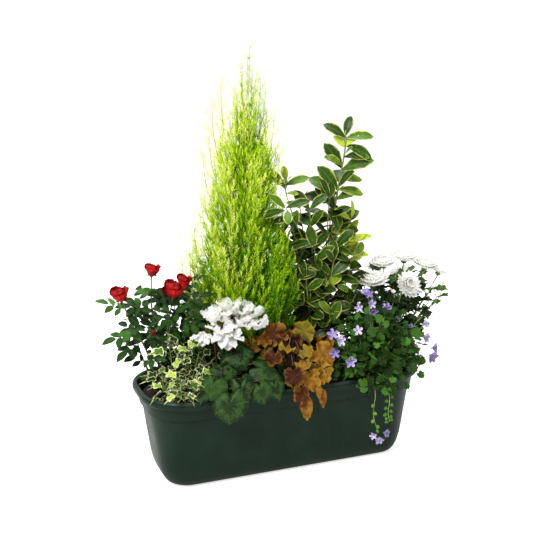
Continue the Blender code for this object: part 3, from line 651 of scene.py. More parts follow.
def make_compost():
    """A grid stretched over the rounded outline inside the wall, crumbled on top, narrower and flat below,
    with loose crumbs half sunk in it."""
    shape = long_blade(150, 64, np.ones_like)
    gap = wall_inset(STEP_TOP, True) + WALL + COMPOST_GAP
    corner = RIM_CORNER - gap
    straight = HALF_LENGTH - gap - corner
    x = (2 * shape.uv[:, 1] - 1) * (HALF_LENGTH - gap)
    beyond = np.clip(np.abs(x) - straight, 0, corner)
    half_width = HALF_WIDTH - gap - corner + np.sqrt(corner ** 2 - beyond ** 2)
    y = -(2 * shape.uv[:, 0] - 1) * half_width
    under = shape.side < 0
    x, y = np.where(under, 0.88 * x, x), np.where(under, 0.70 * y, y)
    z = np.where(under, COMPOST_UNDERSIDE, compost_height(x, y) - 0.001 * (shape.side == 0))
    parts = [copies(shape, np.column_stack([x, y, z])[None], 0.5)]
    rng = np.random.default_rng(11)
    place = rng.uniform(-1, 1, (CRUMBS, 2)) * CRUMB_FIELD
    height = compost_height(place[:, 0], place[:, 1])
    for (cx, cy), cz, size in zip(place, height, rng.uniform(*CRUMB_SIZES, CRUMBS)):
        low = (cx, cy, cz - 0.3 * size)
        parts.append(bead(low, rng.normal(size=3), size, 0.42 * size, 0.5, sides=6, rows=4))
    make_piece("compost_crumbled", parts, COMPOST, ["compost"])


# Cypress

CYPRESS_FOOT, CYPRESS_TIP = np.array([-0.062, 0.035, 0.125]), np.array([-0.036, 0.035, 0.704])
# The spire's outline: heights, and how far its longest branches reach there
CYPRESS_HEIGHTS = (0.200, 0.235, 0.275, 0.330, 0.400, 0.460, 0.520, 0.575, 0.615, 0.648, 0.680, 0.705)
CYPRESS_REACH = (0.062, 0.074, 0.083, 0.085, 0.080, 0.070, 0.059, 0.048, 0.037, 0.024, 0.012, 0.002)
BRANCHES, LOW_FROM, MIDDLE_FROM, HIGH_FROM = 290, 105, 195, 255
BRANCHLET_LEAN, TWIG_RADIUS, INNER_TWIGS = 30, 0.0005, 7000


def cypress_axis(z):
    """The leader's place at a height: a straight line with a slight lean."""
    return CYPRESS_FOOT + ((z - CYPRESS_FOOT[2]) / (CYPRESS_TIP - CYPRESS_FOOT)[2])[..., None] * (
        CYPRESS_TIP - CYPRESS_FOOT)


def branch_paths(start, top, bearing, reach, steps=9):
    """Branches that leave the leader at a start height, swing out as the sine of the way, and turn up."""
    t = np.linspace(0, 1, steps)[None]
    z = start[:, None] + (top - start)[:, None] * t ** 1.25
    out = reach[:, None] * np.sin(pi / 2 * t) ** 0.85
    turn = np.radians(bearing)[:, None]
    return cypress_axis(z) + np.stack([out * np.cos(turn), out * np.sin(turn), 0 * out], -1)


def stations(paths, t):
    """Places at t of the way along each path, and the steps of the path that they lie on."""
    last = paths.shape[1] - 1
    i = np.minimum((t * last).astype(int), last - 1)
    step = paths[:, i + 1] - paths[:, i]
    return paths[:, i] + (t * last - i)[None, :, None] * step, step


def standing_round(paths, t, rng):
    """Places at t of the way along each path, the way on there, and a direction square to it, which turns
    by the golden angle from each place to the next from a seeded start."""
    base, step = stations(paths, t)
    ahead = unit(step)
    first = unit(np.cross(ahead, np.array([0.3, 0.2, 0.9])))
    turn = np.radians(GOLDEN_ANGLE) * np.arange(len(t))[None] + rng.uniform(0, 2 * pi, (len(paths), 1))
    return base, ahead, np.cos(turn)[..., None] * first + np.sin(turn)[..., None] * np.cross(ahead, first)


def lead_off(paths, count, length, lean, rng):
    """Side branchlets: they leave each path at even steps and at the golden angle round it, lean forward
    along it, and curve up. Gives their own paths and how far along its parent each one stands."""
    t = np.linspace(0.30, 0.98, count)
    base, ahead, radial = standing_round(paths, t, rng)
    size = length * (1.05 - 0.55 * t)[None] * rng.uniform(0.75, 1.2, (len(paths), count))
    way = np.linspace(0, 1, 5)[:, None]
    side = np.sin(radians(lean)) * radial[:, :, None] * np.sin(pi / 2 * way) * 0.8
    grown = base[:, :, None] + size[..., None, None] * (side + cos(radians(lean)) * ahead[:, :, None] * way)
    return grown.reshape(-1, 5, 3), np.tile(t, len(paths))


def plume(paths, count, longest, light_and_growth_tint, rng, start=0.04):
    """A feathery shoot on each path: scaly twigs stand round it at the golden angle, leaning forward,
    shorter towards its tip. Twigs are lighter at the tip of a shoot, and as a whole by a number for each
    shoot, which holds the colour of new growth with painted light and shade."""
    t = np.linspace(start, 1.0, count)
    base, ahead, radial = standing_round(paths, t, rng)
    lean = np.radians(rng.uniform(28, 56, (len(paths), count)) * (1 - 0.6 * t ** 4))[..., None]
    twig = np.cos(lean) * ahead + np.sin(lean) * radial
    size = longest * (1.0 - 0.40 * t)[None] * rng.uniform(0.65, 1.3, (len(paths), count))
    tint = light_and_growth_tint[:, None] + 0.42 * t[None] ** 1.5 + rng.uniform(-0.06, 0.06, size.shape)
    return spindles(base.reshape(-1, 3), twig.reshape(-1, 3), size.ravel(), TWIG_RADIUS, tint.ravel(), 0.35)


def painted_light_and_growth(places):
    """How light the foliage is painted at each place: lighter outside and high up, as new growth is and as
    light falls there, with painted light on the side of the light and painted shade low down on the other
    side."""
    outward = places - cypress_axis(places[..., 2])
    reach = np.interp(places[..., 2], CYPRESS_HEIGHTS, CYPRESS_REACH)
    depth = np.clip(np.linalg.norm(outward[..., :2], axis=-1) / reach, 0, 1.2)
    # Painted shade darkens the low part on the right, and painted light lightens the left side
    shaded = np.clip((0.44 - places[..., 2]) / 0.16, 0, 1) * np.clip(outward[..., 0] / reach + 0.3, 0, 1)
    lit = np.clip(-outward[..., 0] / reach, -0.5, 1.0)
    return 0.12 + 0.26 * depth + 0.95 * (places[..., 2] - 0.32) - 0.30 * shaded + 0.12 * lit


def shaded_growth(count, rng):
    """Inner foliage: spindles scattered inside the spire, leaning up and out, thinner and lighter towards
    its top."""
    z = 0.172 + 0.368 * rng.uniform(0, 1, count) ** 1.6
    bearing = rng.uniform(0, 360, count)
    out = np.interp(z + 0.02, CYPRESS_HEIGHTS, CYPRESS_REACH) * np.sqrt(rng.uniform(0.02, 0.60, count))
    place = cypress_axis(z) + out[:, None] * aim(bearing, 0) * (1.0, 0.85, 1.0)
    ahead = aim(bearing + rng.uniform(-40, 40, count), rng.uniform(50, 85, count))
    size = rng.uniform(0.010, 0.018, count)
    lighter = 0.30 * np.clip((z - 0.35) / 0.12, 0, 1) - rng.uniform(0.0, 0.22, count)
    return spindles(place, ahead, size, 0.09 * size, painted_light_and_growth(place) + lighter)


def old_growth(paths, rng):
    """Greener, broader inner foliage along the inner part of each branch, leaning forward round it."""
    t = np.linspace(0.22, 0.80, 16)
    base = stations(paths, t)[0].reshape(-1, 3)
    ahead = np.repeat(unit(paths[:, -1] - paths[:, 0]), len(t), axis=0) + rng.normal(0, 0.30, base.shape)
    size = rng.uniform(0.009, 0.016, len(base))
    return spindles(base, ahead, size, 0.11 * size, painted_light_and_growth(base) + rng.uniform(0.0, 0.2, len(base)))


def make_cypress():
    """A feathery spire: branches leave the leader at the golden angle, closer together low down, and reach
    out to the outline. Each carries branchlets, and each branchlet scaly twigs. Longer ones stand out of
    the outline, a few lead at the top, and older growth and the trunk fill the inside."""
    rng = np.random.default_rng(21)
    # Branches start from 135 to 545 mm up, crowded low down, and end about 118 mm above their start
    k = (np.arange(BRANCHES) + 0.5) / BRANCHES
    start = 0.135 + 0.410 * k ** 1.75
    top = start + 0.118 - 0.012 * k + rng.uniform(-0.018, 0.030, BRANCHES)
    bearing = GOLDEN_ANGLE * np.arange(BRANCHES) + rng.uniform(-15, 15, BRANCHES)
    # Shorter at the back, and above the middle on the right
    back = 0.18 * np.clip(np.sin(np.radians(bearing)), 0, 1)
    right = 0.12 * np.clip((top - 0.36) / 0.06, 0, 1) * np.clip(np.cos(np.radians(bearing + 22)), 0, 1)
    share = rng.choice((0.45, 0.70, 0.86, 0.98, 1.08), BRANCHES)
    reach = np.interp(top, CYPRESS_HEIGHTS, CYPRESS_REACH) * share * (1 - back - right)
    paths = branch_paths(start, top, bearing, reach)
    # Branches that stand out of the outline: start height, tip height, bearing, reach
    proud = metres([
        (240, 388, 170, 96), (225, 370, 158, 104), (210, 350, 165, 102), (195, 318, 190, 100),
        (480, 646, 160, 44), (450, 618, 165, 58), (520, 650, 340, 20), (430, 590, 338, 44),
        (400, 535, 338, 56), (385, 532, 158, 70), (420, 575, 160, 62), (190, 320, 335, 86),
        (185, 300, 300, 80), (200, 350, 340, 84), (260, 400, 100, 64), (170, 270, 250, 76),
        (170, 282, 280, 76), (170, 275, 225, 80), (165, 285, 320, 82), (165, 270, 350, 80),
        (200, 345, 150, 90), (180, 315, 165, 96), (220, 365, 185, 90), (170, 300, 150, 90),
        (175, 305, 205, 88), (240, 375, 150, 86), (190, 335, 140, 80), (160, 285, 175, 94),
        (160, 280, 212, 86), (260, 410, 165, 82), (280, 425, 150, 74), (230, 380, 345, 76),
        (250, 395, 335, 72), (160, 290, 262, 78), (210, 330, 310, 78), (160, 255, 235, 82)], 0, 1, 3)
    standing = branch_paths(*proud.T)
    # Leading shoots: foot and tip
    leaders = metres([
        (-43, 35, 520, -35, 35, 707), (-46, 37, 520, -28, 30, 652), (-45, 33, 530, -48, 45, 674),
        (-44, 30, 550, -44, 22, 690), (-50, 30, 480, -66, 28, 640)]).reshape(-1, 2, 3)
    way = np.linspace(0, 1, 9)[None, :, None]
    leading = leaders[:, :1] + way * (leaders[:, 1:] - leaders[:, :1])
    # Pieces: name, branches, branchlets on each, length of the longest, twigs on each, and how much lighter
    for name, chosen, branchlets, longest, twigs, lift in (
            ("cypress_sprays_foot", paths[:LOW_FROM], 12, 0.040, 16, 0.0),
            ("cypress_sprays_skirt", standing, 12, 0.036, 16, 0.0),
            ("cypress_sprays_low", paths[LOW_FROM:MIDDLE_FROM], 12, 0.038, 16, 0.0),
            ("cypress_sprays_middle", paths[MIDDLE_FROM:HIGH_FROM], 10, 0.034, 14, 0.05),
            ("cypress_sprays_high", paths[HIGH_FROM:], 6, 0.022, 12, 0.15),
            ("cypress_leaders", leading, 8, 0.016, 10, 0.0)):
        stands_for = ["cypress_foliage"] if name == "cypress_leaders" else []
        shoots, along = lead_off(chosen, branchlets, longest, BRANCHLET_LEAN, rng)
        lighter = lift + rng.uniform(-0.16, 0.18, len(chosen))
        # Each shoot's tint carries painted light and shade along with the colour of its growth
        light_and_growth_tint = painted_light_and_growth(shoots[:, 2]) + 0.10 * along + np.repeat(lighter, branchlets)
        tips = painted_light_and_growth(chosen[:, -1]) + lighter
        heads = plume(chosen, twigs + 8, 0.2 * longest + 0.002, tips, rng, start=0.3)
        sprays = plume(shoots, twigs, 0.0082 if longest > 0.03 else 0.0062, light_and_growth_tint, rng)
        make_piece(name, [sprays, heads], CYPRESS, stands_for)
    inner = [old_growth(paths, rng), shaded_growth(INNER_TWIGS, rng)]
    make_piece("cypress_old_growth", inner, CYPRESS)
    heights = np.linspace(0.118, 0.600, 20)
    thickness = np.interp(heights, (0.12, 0.30, 0.60), (0.0056, 0.0038, 0.0006))
    make_piece("cypress_trunk_bark", [tube(cypress_axis(heights), thickness, sides=10)], BARK,
               ["cypress_trunk"])
    twigs = [tube(path, np.linspace(0.0010, 0.0003, 9), sides=4)
             for path in np.concatenate([paths, standing, leading])]
    make_piece("cypress_twigs", twigs, CYPRESS_TWIG)


# Leaves and petals drawn flat


def oval(fullest, blunt):
    """Width along a blade: half a sine wave, fullest at a fraction of its length, blunt at a low power."""
    power = np.log(0.5) / np.log(fullest)
    return lambda u: np.maximum(np.sin(pi * np.clip(u, 0, 1) ** power) ** blunt, 0.05)


def lobed(angles, reaches):
    """Reach from the middle, straight between chosen angles from the tip round to the stalk."""
    return lambda angle: np.interp(angle, angles, reaches)


def notched(lobes, depth, reach, notch):
    """A round outline with even lobes and a notch at the stalk."""
    return lambda angle: ((reach + depth * np.cos(np.radians(lobes * angle)))
                          * (1 - notch * np.exp(-((180 - angle) / 20) ** 2)))


def frilled(angle):
    """A notched outline with six lobes and seventeen small teeth each way round."""
    return notched(6, 0.040, 0.47, 0.55)(angle) + 0.022 * np.cos(np.radians(17 * angle))


def five_pointed(angle):
    """A star: its reach swells to each of five points as the cosine does."""
    return 0.20 + 0.30 * np.abs(np.cos(np.radians(2.5 * angle))) ** 1.1


EUONYMUS_BLADE = long_blade(9, 6, oval(0.58, 0.66))
ROSE_LEAFLET = long_blade(8, 5, oval(0.45, 0.8))
ROSE_PETAL_BLADE = long_blade(8, 8, oval(0.66, 0.42))
RAY_PETAL = long_blade(6, 4, oval(0.62, 0.5))
CYCLAMEN_PETAL_BLADE = long_blade(9, 6, oval(0.62, 0.6))
HEUCHERA_TAIL = long_blade(11, 6, oval(0.38, 0.75))
IVY_BLADE = round_blade(24, 3, lobed((0, 15, 45, 75, 105, 135, 180),
                                     (0.86, 0.36, 0.50, 0.24, 0.40, 0.22, 0.20)), 0.28)
CYCLAMEN_BLADE = round_blade(36, 6, lobed((0, 14, 35, 70, 110, 145, 166, 180),
                                          (0.60, 0.53, 0.47, 0.46, 0.50, 0.53, 0.46, 0.26)), 0.42)
DAISY_LEAF_BLADE = round_blade(24, 2, lobed((0, 20, 38, 65, 90, 120, 180),
                                            (0.58, 0.34, 0.48, 0.25, 0.36, 0.16, 0.42)), 0.42)
HEUCHERA_BLADE = round_blade(48, 6, frilled, 0.46)
BELLFLOWER_LEAF_BLADE = round_blade(18, 2, notched(9, 0.045, 0.48, 0.5), 0.42)
STAR_FLOWER = round_blade(20, 3, five_pointed, 0.0)


# Variegated euonymus

SUNWARD = UP + 1.4 * LIGHTWARD


def shoot(path, pairs, bearing, lengths, rises, shape, width, tints, rng, spread, axis, **form):
    """Leaves in opposite pairs up a stem, each pair square to the last. Length, rise and tint run from the
    lowest pair to the highest. Faces turn up, outwards from the bush's axis, and towards the light."""
    t = np.linspace(0.10, 1.0, pairs)
    mix = np.repeat(t, 2)
    place, _ = along_path(path, mix)
    turn = bearing + 90 * np.repeat(np.arange(pairs), 2) + np.tile((0, 180), pairs)
    jitter = rng.uniform(-1, 1, (3, 2 * pairs))
    length = (lengths[0] + (lengths[1] - lengths[0]) * mix ** 2) * (1 + 0.12 * jitter[2])
    along = aim(turn + spread * jitter[0], rises[0] + (rises[1] - rises[0]) * mix + spread * jitter[1])
    tint = tints[0] + (tints[1] - tints[0]) * mix ** 2 + 0.14 * jitter[0]
    outward = unit((place - axis) * (1, 1, 0))
    face = UP + 0.9 * outward + 0.5 * LIGHTWARD + 0.35 * jitter.T
    return leaves(shape, place, along, length, width * length, tint, face=face, **form)


def up_stem(stem, rows):
    """Rows that begin with a height, with the stem's place at that height instead."""
    place = [np.interp(rows[:, 0], stem[:, 2], stem[:, i]) for i in range(3)]
    return np.column_stack(place + [rows[:, 1:]])


def make_euonymus():
    """A bush of shoots that leave one woody stem and bend out to their tips, leaves at its right edge
    painted bright as painted light shining through them, and three green stems whose leaves are set one by
    one: a tall shoot, a side sprig and an arm."""
    rng = np.random.default_rng(31)
    foot = np.array([0.088, 0.037, 0.130])
    form = dict(shape=EUONYMUS_BLADE, width=0.45, rng=rng, bend=0.5, fold=0.20, ripple=0.03, spread=22.0,
                axis=foot)
    # Shoots of the bush: height where each leaves the stem, its tip, bearing of the lowest pair, leaf
    # length and tint at the tip
    bush = metres([
        (190, 86, -4, 304, -20, 48, 0.62), (170, 94, -14, 255, 25, 48, 0.66),
        (240, 16, 22, 396, 20, 52, 0.4), (230, 20, 30, 345, -15, 50, 0.3),
        (220, 120, 85, 350, 15, 48, 0.3), (220, 60, 88, 345, 45, 48, 0.3),
        (170, 84, 75, 255, 10, 46, 0.2), (170, 36, 50, 262, 30, 46, 0.2),
        (230, 72, 12, 368, 20, 50, 0.45), (240, 36, 18, 398, 65, 52, 0.5),
        (220, 146, 10, 350, 0, 50, 0.6), (270, 68, 25, 434, -5, 52, 0.35),
        (270, 103, 22, 452, 40, 52, 0.35), (260, 145, 22, 412, 15, 50, 0.9),
        (230, 40, 60, 372, 10, 50, 0.5), (250, 90, 80, 405, 55, 50, 0.5),
        (230, 145, 68, 350, 30, 50, 0.6), (190, 60, 72, 300, -10, 46, 0.5),
        (190, 138, 0, 288, 20, 46, 0.6), (200, 50, -2, 322, 5, 48, 0.4),
        (210, 100, -4, 346, 70, 50, 0.45), (210, 34, 12, 344, 40, 50, 0.35),
        (240, 115, 12, 396, 30, 52, 0.4), (240, 148, 40, 388, 70, 50, 0.95),
        (180, 60, 10, 272, 50, 44, 0.35), (180, 120, 40, 262, 0, 44, 0.4),
        (180, 110, 75, 300, 60, 46, 0.4), (260, 66, 62, 430, 30, 50, 0.4),
        (270, 125, 60, 440, 20, 50, 0.45), (160, 34, 20, 236, 15, 46, 0.1),
        (160, 60, 0, 222, 60, 46, 0.1), (170, 20, 46, 250, 40, 46, 0.15)], 0, 1, 2, 3, 5)
    # Leaves at the right edge, painted bright as painted light shining through them: place, bearing, rise,
    # length, tint
    bright = metres([
        (140, 30, 378, -22, 62, 40, 0.98), (142, 28, 372, -18, 20, 46, 0.92),
        (140, 30, 362, -25, 42, 42, 1.0), (142, 30, 350, -30, 5, 40, 0.95),
        (138, 26, 344, -20, 55, 36, 0.98), (136, 30, 330, -15, 30, 38, 0.9)], 0, 1, 2, 5)
    leafage = [listed(EUONYMUS_BLADE, bright, 0.36, face=SUNWARD, bend=0.4, fold=0.2)]
    stem = smooth_path([foot, (0.090, 0.035, 0.20), (0.098, 0.037, 0.32)], 10)
    wood = tube(stem, np.linspace(0.0042, 0.0026, 10), sides=8)
    green_stems = []
    for leaving, *tip, bearing, length, tip_tint in bush:
        start = foot + (leaving - foot[2]) * np.array([0.04, 0.0, 1.0])
        middle = start + (np.array(tip) - start) * (0.65, 0.65, 0.45)
        path = smooth_path([start, middle, tip], 12)
        green_stems.append(tube(path, np.linspace(0.0020, 0.0009, 12)))
        # Painted shade: pairs low on a shoot, and more so on a shoot that ends low, take a darker tint
        tints = (0.15 * np.clip((tip[2] - 0.24) / 0.12, -0.5, 1), tip_tint)
        leafage.append(shoot(path[3:], 5, bearing, (length, 0.78 * length), (8, 55), tints=tints, **form))
    make_piece("euonymus_bush_leaves", leafage, EUONYMUS, ["euonymus_foliage_main"])
    tall = smooth_path(metres([(108, 37, 330), (119, 37, 420), (129, 37, 480), (138, 37, 530),
                               (139, 37, 566)]), 30)
    # The tall shoot's leaves: height up it, bearing, rise, length, tint
    tall_rows = metres([
        (552, 158, 42, 46, 0.3), (556, -20, 78, 36, 0.25), (552, -25, 14, 50, 0.6),
        (540, -18, -18, 58, 0.4), (535, 150, 55, 30, 0.98), (538, 330, 52, 32, 0.98),
        (520, -22, 10, 46, 0.6), (500, 160, 62, 54, 0.25), (496, -20, 28, 62, 0.5),
        (505, 200, 40, 36, 0.7), (482, -25, 8, 40, 0.7), (462, 158, 58, 56, 0.4),
        (455, 150, 38, 60, 0.5), (464, -30, 0, 46, 0.7), (440, 165, 25, 58, 0.2),
        (446, -15, 30, 40, 0.55), (432, 155, 55, 52, 0.2), (428, 210, 60, 50, 0.25),
        (400, -20, 38, 56, 0.25), (396, -25, 14, 46, 0.6), (390, -12, 0, 52, 0.95),
        (412, 175, 10, 50, 0.3), (535, 80, 40, 46, 0.4), (505, 110, 30, 50, 0.3),
        (475, 65, 35, 52, 0.3), (440, 100, 25, 52, 0.25), (412, 60, 30, 50, 0.35),
        (520, 262, 45, 34, 0.6), (468, 275, 48, 48, 0.3), (420, 250, 35, 50, 0.35)], 0, 3)
    crown = listed(EUONYMUS_BLADE, up_stem(tall, tall_rows), 0.48, face=SUNWARD, bend=0.55, fold=0.18,
                   ripple=0.02)
    green_stems.append(tube(tall, np.linspace(0.0024, 0.0011, 30)))
    make_piece("euonymus_tall_leaves", [crown], EUONYMUS, ["euonymus_foliage_tall"])
    side = smooth_path(metres([(64, 33, 370), (40, 32, 425), (26, 32, 470), (28, 32, 490)]), 14)
    # The side sprig's leaves: height up it, bearing, rise, length, tint
    side_rows = metres([
        (474, 152, 46, 46, 0.45), (478, -22, 24, 44, 0.6), (484, 110, 78, 28, 0.8), (464, -20, 4, 22, 0.75),
        (480, 265, 40, 28, 0.6), (470, 80, 35, 32, 0.7)], 0, 3)
    green_stems.append(tube(side, np.linspace(0.0013, 0.0009, 14)))
    arm = smooth_path(metres([(64, 33, 370), (34, 0, 412), (4, -26, 449)]), 10)
    # The leaves of the arm in front of the cypress: place, bearing, rise, length, tint
    arm_rows = metres([
        (2, -26, 450, 158, 46, 34, 0.6), (2, -26, 446, 160, -8, 42, 0.35),
        (6, -26, 446, 250, -22, 34, 0.62), (4, -24, 450, -20, 22, 42, 0.2),
        (20, -12, 430, 190, 0, 36, 0.25)], 0, 1, 2, 5)
    green_stems.append(tube(arm, np.linspace(0.0013, 0.0009, 10)))
    sprigs = [listed(EUONYMUS_BLADE, rows, 0.46, face=SUNWARD, bend=0.35, fold=0.16)
              for rows in (up_stem(side, side_rows), arm_rows)]
    make_piece("euonymus_side_leaves", sprigs, EUONYMUS, ["euonymus_foliage_side"])
    make_piece("euonymus_green_stems", green_stems, SOFT_STEM,
               ["euonymus_stem_side", "euonymus_stem_tall"])
    make_piece("euonymus_wood", [wood], BARK, ["euonymus_stem_main"])


# Roses


def compound_leaves(base, bearing, rise, length, tint, leaflet=0.025, tilt=0.0):
    """Rose leaves: five leaflets along a stalk, one at its tip and two pairs that swing out at each side.
    Tilt turns each leaf's face away from the light, and the pairs differ a little in tint."""
    ahead = aim(bearing, rise)
    across = unit(np.cross(ahead, UP + LIGHTWARD))
    parts = [spindles(base, ahead, length, 0.0006, 0.6 + 0 * length, bulge=0.2)]
    # Leaflets: how far along the stalk, swing in degrees, size
    for fraction, swing, scale in ((0.98, 0, 1.15), (0.70, 56, 1.0), (0.72, -56, 1.0), (0.32, 68, 0.8),
                                   (0.34, -68, 0.8)):
        along = cos(radians(swing)) * ahead + sin(radians(swing)) * across
        place = base + fraction * length[:, None] * ahead
        size = leaflet * scale
        parts.append(leaves(ROSE_LEAFLET, place, along, size, 0.54 * leaflet * scale,
                            tint + 0.08 * np.sign(swing), face=UP + 0.8 * LIGHTWARD + tilt, bend=0.55,
                            fold=0.22, ripple=0.03))
    return parts


def rose_bloom(centre, axis, radius, lean):
    """A cupped bloom: petals stand in a spiral at the golden angle. The inner ones close over, the outer
    ones lean out and curl back, and one loose petal falls open to the side named by lean."""
    k = np.arange(17)
    mix = k / 16
    rise = 88 - 16 * mix ** 1.5
    bearing = GOLDEN_ANGLE * k + 40
    outward = aim(bearing, 0)
    _, turn = square_to(axis)
    length = radius * (1.36 - 0.10 * mix + 0.10 * np.sin(5 * k))
    width = radius * (0.75 + 0.65 * mix)
    base = np.asarray(centre) + (outward * (0.08 + 0.50 * mix)[:, None] * radius) @ turn
    # Inner petals take a lower tint than outer ones: painted shade deep in the bloom
    petals = leaves(ROSE_PETAL_BLADE, base, aim(bearing, rise) @ turn, length, width, 0.30 + 0.5 * mix,
                    face=-outward @ turn, bend=-0.75 + 1.45 * mix ** 2, cup=0.60 - 0.30 * mix, ripple=0.05)
    loose = leaves(ROSE_PETAL_BLADE, np.asarray(centre), aim(lean, 24), 1.35 * radius, 0.95 * radius, 0.40,
                   face=UP + LIGHTWARD, bend=-0.5, cup=0.30)
    return [petals, loose]


def sepals(centre, axis, length, count=5):
    """Narrow pointed sepals at even turns round the foot of a bloom, nearly square to its axis."""
    turn = 360 / count * np.arange(count)
    up, turned = square_to(axis)
    base = np.repeat(np.asarray(centre, float)[None], count, 0)
    return leaves(ROSE_LEAFLET, base, aim(turn, 12) @ turned, length, 0.3 * length, 0.7, face=up, bend=0.4)


def make_roses():
    """Canes fan out from one foot. Some end in a hip and a bloom, all carry compound leaves at the golden
    angle, two buds stand by the blooms, and leaves from tables fill the bush's edges."""
    rng = np.random.default_rng(41)
    foot = (-200, 30, 130)
    # Canes with a bloom: points up the cane in millimetres, bloom radius, bearing of its loose petal
    blooming = [([foot, (-225, 12, 215), (-255, -10, 276), (-272, -18, 320)], 0.0160, 170),
                ([foot, (-210, 20, 250), (-215, 20, 300), (-213, 20, 346)], 0.0135, 335),
                ([foot, (-192, 15, 240), (-184, 0, 313)], 0.0185, 160),
                ([foot, (-172, 40, 250), (-160, 26, 322)], 0.0135, 345)]
    blooms, canes, green = [], [], []
    for points, radius, lean in blooming:
        path = smooth_path(metres(points), 16)
        canes.append(tube(path, np.linspace(0.0021, 0.0010, 16)))
        axis = unit(path[-1] - path[-3]) + (0.0, -0.15, 0.2)
        canes.append(bead(path[-1] - 0.004 * unit(axis), axis, 0.008, 0.0034, 0.5))
        blooms.append(rose_bloom(path[-1], axis, radius, lean))
        green.append(sepals(path[-1], axis, 0.014))
    # Buds: points up the stalk in millimetres
    for points in ([(-250, -6, 262), (-254, -2, 279), (-255, -2, 284)],
                   [(-214, 2, 225), (-226, -30, 262), (-229, -40, 268)]):
        path = smooth_path(metres(points), 6)
        canes.append(tube(path, 0.0009))
        axis = path[-1] - path[-2]
        low = path[-1] - 0.002 * unit(axis)
        blooms[0].append(bead(low, axis, 0.018, 0.0052, 0.15, sides=12, rows=9, fullest=0.4))
        green.append(sepals(path[-1], axis, 0.015, 4))
    for number, parts in enumerate(blooms, 1):
        make_piece("rose_bloom_petals_%d" % number, parts, ROSE_PETAL,
                   ["rose_bloom_%d" % number])
    # Leafy canes: points up the cane in millimetres, number of leaves
    leafy = [(points, 5) for points, _, _ in blooming] + [
        ([foot, (-230, 50, 210), (-236, 58, 270)], 4), ([foot, (-170, 55, 220), (-165, 60, 285)], 5),
        ([foot, (-230, -10, 190), (-244, -30, 222)], 4), ([foot, (-165, 10, 230), (-152, -5, 296)], 7),
        ([foot, (-200, -5, 220), (-196, -22, 270)], 5), ([foot, (-190, 60, 200), (-210, 68, 250)], 4)]
    for points, count in leafy:
        path = smooth_path(metres(points), 12)
        canes.append(tube(path, np.linspace(0.0019, 0.0008, 12)))
        place, _ = along_path(path, np.linspace(0.42, 0.96 if len(points) == 3 else 0.84, count))
        bearing = GOLDEN_ANGLE * np.arange(count) + rng.uniform(0, 360)
        length = rng.uniform(0.028, 0.037, count)
        green += compound_leaves(place, bearing, rng.uniform(-5, 40, count), length,
                                 rng.uniform(0.0, 0.8, count), 0.020, rng.normal(0, 0.35, (count, 3)))
    # Leaves at the bush's left edge, over the cyclamen, and dark ones at the back: place, bearing, rise,
    # length, tint
    rows = metres([
        (-176, 40, 290, 200, 30, 34, 0.05), (-160, 46, 270, 300, 25, 34, 0.1),
        (-190, 50, 262, 180, 20, 34, 0.05), (-150, 40, 246, 340, 10, 34, 0.05),
        (-170, 40, 238, 220, 15, 34, 0.1), (-150, 20, 278, 345, 15, 36, 0.15),
        (-200, 30, 236, 200, 5, 34, 0.1), (-160, 10, 262, 320, 0, 36, 0.15),
        (-178, -10, 300, 352, 18, 38, 0.2), (-196, 0, 306, 10, 25, 32, 0.3),
        (-254, -12, 260, 190, -4, 30, 0.5), (-246, -12, 246, 215, -15, 30, 0.4),
        (-176, -20, 292, 350, 10, 30, 0.25), (-184, -30, 275, 340, -5, 30, 0.35),
        (-235, -10, 300, 170, 12, 22, 0.5), (-255, -30, 272, 235, 0, 22, 0.7),
        (-150, 30, 222, 330, 15, 34, 0.05), (-176, 20, 216, 250, 10, 34, 0.05),
        (-140, 50, 240, 300, 20, 34, 0.02), (-190, 60, 225, 200, 10, 34, 0.05),
        (-160, 64, 210, 260, 20, 34, 0.02), (-130, 24, 205, 320, 20, 34, 0.05),
        (-150, 18, 230, 200, 8, 30, 0.05), (-136, 0, 208, 190, 5, 32, 0.05),
        (-158, 30, 240, 215, 5, 30, 0.08), (-128, 10, 226, 185, 10, 30, 0.05),
        (-158, -10, 212, 200, 0, 32, 0.02), (-170, -6, 224, 340, 5, 32, 0.02),
        (-110, 0, 232, 160, 10, 34, 0.02), (-118, -12, 250, 330, 20, 30, 0.02)], 0, 1, 2, 5)
    green += compound_leaves(rows[:, :3], rows[:, 3], rows[:, 4], rows[:, 5], rows[:, 6], leaflet=0.022)
    # Single large leaves, close under the blooms and low in the bush: place, bearing, rise, length, tint
    single = metres([
        (-214, 18, 318, 335, -30, 26, 0.35), (-206, 14, 312, 40, 30, 28, 0.2),
        (-262, -14, 292, 320, -35, 26, 0.2), (-240, -4, 292, 20, 10, 28, 0.25),
        (-168, 8, 208, 338, 5, 42, 0.05), (-152, 30, 198, 338, 0, 42, 0.05),
        (-164, 16, 194, 330, -5, 40, 0.02), (-120, 10, 234, 250, 20, 40, 0.05)], 0, 1, 2, 5)
    green.append(listed(ROSE_LEAFLET, single, 0.6, face=UP + LIGHTWARD, bend=0.5, fold=0.2))
    make_piece("rose_leaves", green, ROSE_LEAF, ["rose_foliage"])
    make_piece("rose_canes", canes, ROSE_WOOD, ["rose_stem"] + numbered("rose_cane", 4))


# Ivy


